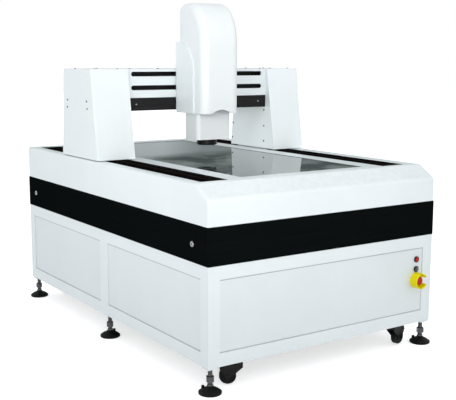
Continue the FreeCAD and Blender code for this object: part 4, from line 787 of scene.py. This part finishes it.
def lamps_tree():
    """Two rows of small domed lamps in a circle round each point."""
    tree = Growing("Ring of lamps", [
        ("Inner Radius", "NodeSocketFloat", 0.034),
        ("Outer Radius", "NodeSocketFloat", 0.042),
        ("Lamp Radius", "NodeSocketFloat", 0.0018),
        ("Count", "NodeSocketInt", 36),
    ])
    lamp = tree.node("GeometryNodeMeshUVSphere")
    lamp.inputs["Segments"].default_value = 10
    lamp.inputs["Rings"].default_value = 6
    tree.link(tree.entry.outputs["Lamp Radius"], lamp.inputs["Radius"])
    rows = tree.node("GeometryNodeJoinGeometry")
    for title in ("Inner Radius", "Outer Radius"):
        circle = tree.node("GeometryNodeMeshCircle")
        tree.link(tree.entry.outputs["Count"], circle.inputs["Vertices"])
        tree.link(tree.entry.outputs[title], circle.inputs["Radius"])
        tree.link(circle.outputs[0], rows.inputs[0])
    ring = tree.node("GeometryNodeInstanceOnPoints")
    tree.link(rows.outputs[0], ring.inputs["Points"])
    tree.link(lamp.outputs["Mesh"], ring.inputs["Instance"])
    placed = tree.node("GeometryNodeInstanceOnPoints")
    tree.link(tree.entry.outputs["Geometry"], placed.inputs["Points"])
    tree.link(ring.outputs[0], placed.inputs["Instance"])
    return tree.end(placed.outputs[0])


def grown_piece(name, title, places, finish, body, slot, outward=None, **values):
    """Runs the Geometry Nodes tree of that title over points and keeps the result as a plain mesh."""
    makers = {"Small screws": screws_tree, "Thread ridges": thread_tree, "Ring of lamps": lamps_tree}
    tree = bpy.data.node_groups.get(title) or makers[title]()
    seed = bpy.data.objects.new(name + "_seed", points_mesh(name + "_points", places, outward))
    bpy.context.scene.collection.objects.link(seed)
    modifier = seed.modifiers.new("Grow", "NODES")
    modifier.node_group = tree
    sockets = {item.name: item.identifier for item in tree.interface.items_tree if item.in_out == "INPUT"}
    for label, value in values.items():
        modifier[sockets[label.replace("_", " ")]] = value
    modifier[sockets["Finish"]] = machine_materials()[finish]
    depsgraph = bpy.context.evaluated_depsgraph_get()
    mesh = bpy.data.meshes.new_from_object(seed.evaluated_get(depsgraph))
    seed.modifiers.clear()
    bpy.data.objects.remove(seed)
    mesh.name = name
    smooth(mesh)
    return new_piece(name, mesh, finish, body)


def slab(bm, low, high):
    """Adds a block between two corners."""
    corners = bmesh.ops.create_cube(bm, size=1.0)["verts"]
    size = [high[axis] - low[axis] for axis in range(3)]
    middle = [(high[axis] + low[axis]) / 2 for axis in range(3)]
    bmesh.ops.scale(bm, vec=size, verts=corners)
    bmesh.ops.translate(bm, vec=middle, verts=corners)


# Pieces, one operator for each group


class MACHINE_OT_cabinet(bpy.types.Operator):
    """Frame, panels and inner box of the cabinet"""

    bl_idname = "machine.cabinet"
    bl_label = "Cabinet"

    def execute(self, context):
        sizes = context.scene.machine_sizes
        soften("base_frame", sizes.frame_edge, shortest=0.02, welded=True)
        for node in ("side_panels", "front_panel", "rear_panel"):
            soften(node, 0.0006)
        dress("control_box", "power_inlet")
        return {"FINISHED"}


class MACHINE_OT_band(bpy.types.Operator):
    """Black band and its screws"""

    bl_idname = "machine.band"
    bl_label = "Band"

    def execute(self, context):
        edge = context.scene.machine_sizes.sheet_edge
        soften("side_bands", edge)
        soften("end_bands", edge)
        dress("band_screws")
        return {"FINISHED"}


class MACHINE_OT_casing(bpy.types.Operator):
    """Upper casing, deck and slot strips"""

    bl_idname = "machine.casing"
    bl_label = "Casing"

    def execute(self, context):
        edge = context.scene.machine_sizes.sheet_edge
        shade_slot_walls(soften("casing_front", edge, angle=50.0))
        shade_slot_walls(soften("casing_body", edge, angle=50.0))
        shade_slot_walls(soften("stage_surround", edge))
        dress("slot_strips")
        return {"FINISHED"}


class MACHINE_OT_stage(bpy.types.Operator):
    """Glass stage with its seal, light panel and granite bed"""

    bl_idname = "machine.stage"
    bl_label = "Glass stage"

    def execute(self, context):
        dress("stage_glass", "backlight", "granite_base")
        low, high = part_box("stage_glass")
        width = 0.005
        top = high.z + 0.0009
        foot = high.z - 0.0004
        bm = bmesh.new()
        for first, last in (
            ((low.x, low.y), (high.x, low.y + width)),
            ((low.x, high.y - width), (high.x, high.y)),
            ((low.x, low.y + width), (low.x + width, high.y - width)),
            ((high.x - width, low.y + width), (high.x, high.y - width)),
        ):
            slab(bm, (*first, foot), (*last, top))
        new_piece("stage_seal", mesh_from(bm, "stage_seal"), "seal", "base")
        return {"FINISHED"}


class MACHINE_OT_gantry(bpy.types.Operator):
    """Uprights, beam and their covers and screws"""

    bl_idname = "machine.gantry"
    bl_label = "Gantry"

    def execute(self, context):
        edge = context.scene.machine_sizes.sheet_edge
        for node in ("left_upright_cover", "right_upright_cover", "inner_covers", "beam_cover", "beam_band"):
            soften(node, edge)
        darken_inside(bpy.data.objects["beam_cover_soft"])
        dress("gantry_columns")
        darken_side_screws(soften("gantry_screws", 0.0003, shortest=0.5))
        # Painted shade: the beam is made black so that the slots in its cover look dark.
        dress("gantry_beam", finish="slot_shade_black")
        return {"FINISHED"}


class MACHINE_OT_drives(bpy.types.Operator):
    """Rails, bearing blocks, motors and screw inside the machine"""

    bl_idname = "machine.drives"
    bl_label = "Drives"

    def execute(self, context):
        dress("y_rails", "y_magnet_tracks", "y_blocks", "y_motor_coils")
        # Painted shade: the X rails, track, blocks, coil and carriage behind the slots are made black.
        dress("x_rails", "x_magnet_track", "x_blocks", "x_motor_coil", "x_carriage", finish="slot_shade_black")
        dress("z_rails", "z_motor", "z_slide", "camera", "z_screw")
        low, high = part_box("z_screw")
        pitch = context.scene.machine_sizes.screw_pitch
        plain_foot = 0.03
        plain_ends = 0.05
        start = Vector(((low.x + high.x) / 2, (low.y + high.y) / 2, low.z + plain_foot))
        grown_piece(
            "z_screw_thread", "Thread ridges", [start], "steel", "z_screw", "steel",
            Radius=0.0059, Pitch=pitch, Depth=0.0003, Count=int((high.z - low.z - plain_ends) / pitch))
        return {"FINISHED"}


class MACHINE_OT_head(bpy.types.Operator):
    """Head cover, head frame and lens housing"""

    bl_idname = "machine.head"
    bl_label = "Head"

    def execute(self, context):
        edge = context.scene.machine_sizes.sheet_edge
        soften("head_frame", edge)
        soften("head_cover", 0.0006, shortest=0.02)
        soften("lens_housing", edge)
        radius = context.scene.machine_sizes.dot_radius
        low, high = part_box("lens_housing")
        from_top = 0.036
        places = [Vector((low.x, high.y - from_back, high.z - from_top)) for from_back in (0.012, 0.040)]
        grown_piece(
            "housing_screws", "Small screws", places, "stud_steel", "lens_unit", "screw_steel",
            outward=[(-1, 0, 0)] * len(places), Radius=radius, Height=0.0012)
        low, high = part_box("head_cover")
        inset = 0.012
        pitch = 0.09
        sides = (low.x + inset, high.x - inset)
        places = [Vector((x, low.y + pitch * step, low.z)) for x in sides for step in (1, 2)]
        grown_piece(
            "cover_screws", "Small screws", places, "stud_steel", "carriage", "screw_steel",
            outward=[(0, 0, -1)] * len(places), Radius=radius, Height=0.001)
        return {"FINISHED"}


class MACHINE_OT_optics(bpy.types.Operator):
    """Lens, its front element and the ring light with its lamps"""

    bl_idname = "machine.optics"
    bl_label = "Optics"

    def execute(self, context):
        dress("zoom_lens", "ring_light")
        low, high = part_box("zoom_lens")
        centre = Vector(((low.x + high.x) / 2, (low.y + high.y) / 2, low.z))
        bm = bmesh.new()
        rings = 7
        steps = 48
        radius = 0.0215
        bulge = 0.00084
        rows = []
        for ring in range(1, rings + 1):
            reach = radius * ring / rings
            drop = bulge * (1 - (reach / radius) ** 2)
            row = []
            for step in range(steps):
                angle = 2 * math.pi * step / steps
                point = Vector((reach * math.cos(angle), reach * math.sin(angle), -drop))
                row.append(bm.verts.new(centre + point))
            rows.append(row)
        tip = bm.verts.new(centre + Vector((0, 0, -bulge)))
        for step in range(steps):
            follow = (step + 1) % steps
            bm.faces.new((tip, rows[0][follow], rows[0][step]))
            for inner, outer in zip(rows, rows[1:]):
                bm.faces.new((inner[step], inner[follow], outer[follow], outer[step]))
        bmesh.ops.recalc_face_normals(bm, faces=bm.faces)
        new_piece("lens_element", mesh_from(bm, "lens_element"), "lens_element", "lens_unit")
        centre.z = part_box("ring_light")[0].z
        grown_piece(
            "ring_lamps", "Ring of lamps", [centre], "lamp", "lens_unit", "light_panel",
            Count=context.scene.machine_sizes.lamp_count)
        return {"FINISHED"}


class MACHINE_OT_controls(bpy.types.Operator):
    """Buttons, key switch and the guard of the stop button"""

    bl_idname = "machine.controls"
    bl_label = "Controls"

    def execute(self, context):
        soften("estop_guard", 0.0012, shortest=0.001)
        dress("switch_bezels", "power_button", "key_switch", "estop_button")
        return {"FINISHED"}


class MACHINE_OT_feet(bpy.types.Operator):
    """Levelling feet with threaded studs and nuts"""

    bl_idname = "machine.feet"
    bl_label = "Feet"

    def execute(self, context):
        dress("foot_discs", "foot_studs", "foot_nuts")
        pitch = context.scene.machine_sizes.thread_pitch
        nut_low, nut_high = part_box("foot_nuts")
        disc_low, disc_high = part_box("foot_discs")
        frame_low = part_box("base_frame")[0].z
        disc_radius = 0.050
        joint_height = 0.009
        columns = (disc_low.x + disc_radius, disc_high.x - disc_radius)
        rows = (disc_low.y + disc_radius, (disc_low.y + disc_high.y) / 2, disc_high.y - disc_radius)
        for name, low, high in (
            ("lower_threads", disc_high.z + joint_height, nut_low.z),
            ("upper_threads", nut_high.z, frame_low),
        ):
            starts = [Vector((x, y, low + pitch / 2)) for x in columns for y in rows]
            grown_piece(
                name, "Thread ridges", starts, "stud_steel", "base", "stud_steel",
                Radius=0.0099, Pitch=pitch, Depth=0.0005, Count=int((high - low) / pitch))
        return {"FINISHED"}


class MACHINE_OT_casters(bpy.types.Operator):
    """Four swivel casters"""

    bl_idname = "machine.casters"
    bl_label = "Casters"

    def execute(self, context):
        soften("caster_plates", 0.0008)
        for node in frame["nodes"]:
            if node.startswith("caster_fork_"):
                soften(node, 0.0007, shortest=0.004)
            if node.startswith("caster_wheel_"):
                dress(node)
        return {"FINISHED"}


class MACHINE_OT_studio(bpy.types.Operator):
    """Pale floor, soft lights, white surroundings and the camera"""

    bl_idname = "machine.studio"
    bl_label = "Studio"

    def execute(self, context):
        scene = context.scene
        sizes = scene.machine_sizes
        scene.view_settings.view_transform = "Standard"
        self.make_floor(scene)
        self.make_surroundings(scene, sizes.room_light)
        self.make_flag(scene)
        lamps = {}
        for name, place, target, size, power, colour in (
            ("Key", (2.6, -5.2, 4.4), (0.1, -0.2, 0.8), 3.2, sizes.key_light, (1.0, 0.97, 0.945)),
            ("Fill", (-5.4, -1.2, 3.0), (0.0, 0.0, 0.7), 3.6, sizes.fill_light, (0.93, 0.97, 1.0)),
            ("Front", (-3.6, -4.4, 1.5), (0.3, 0.2, 0.9), 2.4, sizes.front_light, (1.0, 0.98, 0.965)),
            ("Upper", (-2.4, -5.0, 2.0), (0.12, 0.3, 1.3), 1.6, sizes.upper_light, (1.0, 0.94, 0.905)),
            ("Side", (-3.7, -2.9, 1.9), (0.25, 0.25, 1.32), 1.4, sizes.side_light, (1.0, 0.965, 0.94)),
            ("Inner", (0.10, 0.34, 1.02), (0.43, 0.30, 1.0), 0.3, sizes.inner_light, (0.98, 1.0, 1.0)),
        ):
            lamps[name] = self.make_lamp(scene, name, place, target, size, power, colour)
        for name in ("Upper", "Side"):
            lamps[name].data.spread = math.radians(38.0)
        lamps["Inner"].visible_camera = False
        lamps["Inner"].visible_glossy = False
        self.make_camera(scene)
        return {"FINISHED"}

    def seen_share(self, tree):
        """1 for rays that show the surroundings, directly, mirrored or through glass."""
        path = tree.node("ShaderNodeLightPath")
        seen = tree.maths("MAXIMUM", path.outputs["Is Camera Ray"], path.outputs["Is Glossy Ray"])
        return tree.maths("MAXIMUM", seen, path.outputs["Is Transmission Ray"])

    def make_sheet(self, scene, name, corners, material):
        """One flat face of the stage."""
        mesh = bpy.data.meshes.new(name)
        mesh.from_pydata([tuple(corner) for corner in corners], [], [(0, 1, 2, 3)])
        mesh.materials.append(material)
        sheet = bpy.data.objects.new(name, mesh)
        scene.collection.objects.link(sheet)
        return sheet

    def make_floor(self, scene):
        """Pale floor that looks white to the camera and takes soft shadows."""
        half = 30.0
        glow_strength = 0.62
        material, tree = empty_material("Floor")
        corners = [(-half, -half, 0), (half, -half, 0), (half, half, 0), (-half, half, 0)]
        self.make_sheet(scene, "floor", corners, material)
        matt = tree.node("ShaderNodeBsdfDiffuse")
        matt.inputs["Color"].default_value = (0.88, 0.88, 0.88, 1)
        glow = tree.node("ShaderNodeEmission")
        glow.inputs["Color"].default_value = (1, 1, 1, 1)
        tree.link(tree.maths("MULTIPLY", self.seen_share(tree), glow_strength), glow.inputs["Strength"])
        both = tree.node("ShaderNodeAddShader")
        tree.link(matt.outputs[0], both.inputs[0])
        tree.link(glow.outputs[0], both.inputs[1])
        tree.link(both.outputs[0], tree.node("ShaderNodeOutputMaterial").inputs["Surface"])

    def make_flag(self, scene):
        """Flag behind the machine that only mirrors show: pale below, with grey and dark streaks above."""
        away = Vector((math.sin(CAMERA_HEADING), math.cos(CAMERA_HEADING), 0))
        across = Vector((away.y, -away.x, 0))
        distance = 6.5
        centre = away * distance + Vector((0, 0, 1.9))
        half = across * 5.0
        rise = Vector((0, 0, 1.45))
        edge_height = 1.525
        edge_blur = 0.075
        pale = (0.60, 0.67, 0.68)
        grey = (0.30, 0.345, 0.345)
        dark = (0.09, 0.108, 0.106)
        material, tree = empty_material("Flag")
        corners = [centre - half - rise, centre + half - rise, centre + half + rise, centre - half + rise]
        flag = self.make_sheet(scene, "flag", corners, material)
        place = tree.place()
        axes = tree.axes(place)
        wander = tree.spread(tree.noise(place, 0.5, 2.0), 0.3, 0.7, -0.015, 0.015)
        tilt = tree.spread(axes["X"], 2.7, 5.1, -0.07, 0.19)
        level = tree.maths("ADD", axes["Z"], tree.maths("ADD", wander, tilt))
        upper = tree.spread(level, edge_height, edge_height + edge_blur)
        folds = tree.noise(tree.stretched(place, (0.13, 0.13, 1.0)), 17.0, 3.0, 0.62)
        above = tree.mix(tree.spread(folds, 0.44, 0.62), dark, grey)
        below = tree.mix(tree.spread(axes["X"], 3.02, 3.42), pale, grey)
        glow = tree.node("ShaderNodeEmission")
        tree.link(tree.mix(upper, below, above), glow.inputs["Color"])
        tree.link(glow.outputs[0], tree.node("ShaderNodeOutputMaterial").inputs["Surface"])
        flag.visible_camera = False
        flag.visible_diffuse = False
        flag.visible_transmission = False
        flag.visible_shadow = False

    def make_surroundings(self, scene, strength):
        """White surroundings to look at, with their own strength as light."""
        world = bpy.data.worlds.new("Studio")
        scene.world = world
        world.use_nodes = True
        world.node_tree.nodes.clear()
        tree = Tree(world.node_tree)
        soft = tree.node("ShaderNodeBackground")
        soft.inputs["Color"].default_value = (0.96, 0.98, 1.0, 1)
        soft.inputs["Strength"].default_value = strength
        white = tree.node("ShaderNodeBackground")
        white.inputs["Color"].default_value = (1, 1, 1, 1)
        white.inputs["Strength"].default_value = 1.0
        blend = tree.node("ShaderNodeMixShader")
        tree.link(self.seen_share(tree), blend.inputs[0])
        tree.link(soft.outputs[0], blend.inputs[1])
        tree.link(white.outputs[0], blend.inputs[2])
        tree.link(blend.outputs[0], tree.node("ShaderNodeOutputWorld").inputs["Surface"])

    def make_lamp(self, scene, name, place, target, size, power, colour):
        """Round lamp that faces its target."""
        data = bpy.data.lights.new(name, "AREA")
        data.shape = "DISK"
        data.size = size
        data.energy = power
        data.color = colour
        lamp = bpy.data.objects.new(name, data)
        lamp.location = place
        lamp.rotation_euler = (Vector(target) - Vector(place)).to_track_quat("-Z", "Y").to_euler()
        scene.collection.objects.link(lamp)
        return lamp

    def make_camera(self, scene):
        """Camera where the photograph was taken from."""
        data = bpy.data.cameras.new("Camera")
        picture_width = 456
        focal_pixels = 882.52
        data.sensor_width = 36.0
        data.lens = focal_pixels / picture_width * data.sensor_width
        data.clip_end = 100.0
        camera = bpy.data.objects.new("Camera", data)
        dip = math.radians(9.02)
        roll = math.radians(0.18)
        left_of_machine = 1.8868
        before_machine = 2.9417
        eye_height = 1.3841
        level = math.cos(dip)
        forward = Vector((math.sin(CAMERA_HEADING) * level, math.cos(CAMERA_HEADING) * level, -math.sin(dip)))
        camera.location = (LEFT_FACE - left_of_machine, FRONT_FACE - before_machine, eye_height)
        turn = forward.to_track_quat("-Z", "Y").to_matrix() @ Matrix.Rotation(roll, 3, "Z")
        camera.rotation_euler = turn.to_euler()
        scene.collection.objects.link(camera)
        scene.camera = camera


class MACHINE_PT_panel(bpy.types.Panel):
    """Lists the machine's pieces, colours and sizes"""

    bl_idname = "MACHINE_PT_panel"
    bl_label = "Vision Measuring Machine"
    bl_space_type = "VIEW_3D"
    bl_region_type = "UI"
    bl_category = "Machine"

    def draw(self, context):
        column = self.layout.column()
        for operator in OPERATORS:
            column.operator(operator.bl_idname)
        for group in (context.scene.machine_colours, context.scene.machine_sizes):
            box = self.layout.box()
            for name in type(group).__annotations__:
                box.prop(group, name)


OPERATORS = (
    MACHINE_OT_cabinet,
    MACHINE_OT_band,
    MACHINE_OT_casing,
    MACHINE_OT_stage,
    MACHINE_OT_gantry,
    MACHINE_OT_drives,
    MACHINE_OT_head,
    MACHINE_OT_optics,
    MACHINE_OT_controls,
    MACHINE_OT_feet,
    MACHINE_OT_casters,
    MACHINE_OT_studio,
)
CLASSES = (MachineColours, MachineSizes) + OPERATORS + (MACHINE_PT_panel,)


def register():
    for cls in CLASSES:
        bpy.utils.register_class(cls)
    bpy.types.Scene.machine_colours = PointerProperty(type=MachineColours)
    bpy.types.Scene.machine_sizes = PointerProperty(type=MachineSizes)


def unregister():
    del bpy.types.Scene.machine_sizes
    del bpy.types.Scene.machine_colours
    for cls in reversed(CLASSES):
        bpy.utils.unregister_class(cls)


def main():
    register()
    for operator in OPERATORS:
        family, name = operator.bl_idname.split(".")
        getattr(getattr(bpy.ops, family), name)()


if __name__ == "__main__":
    main()
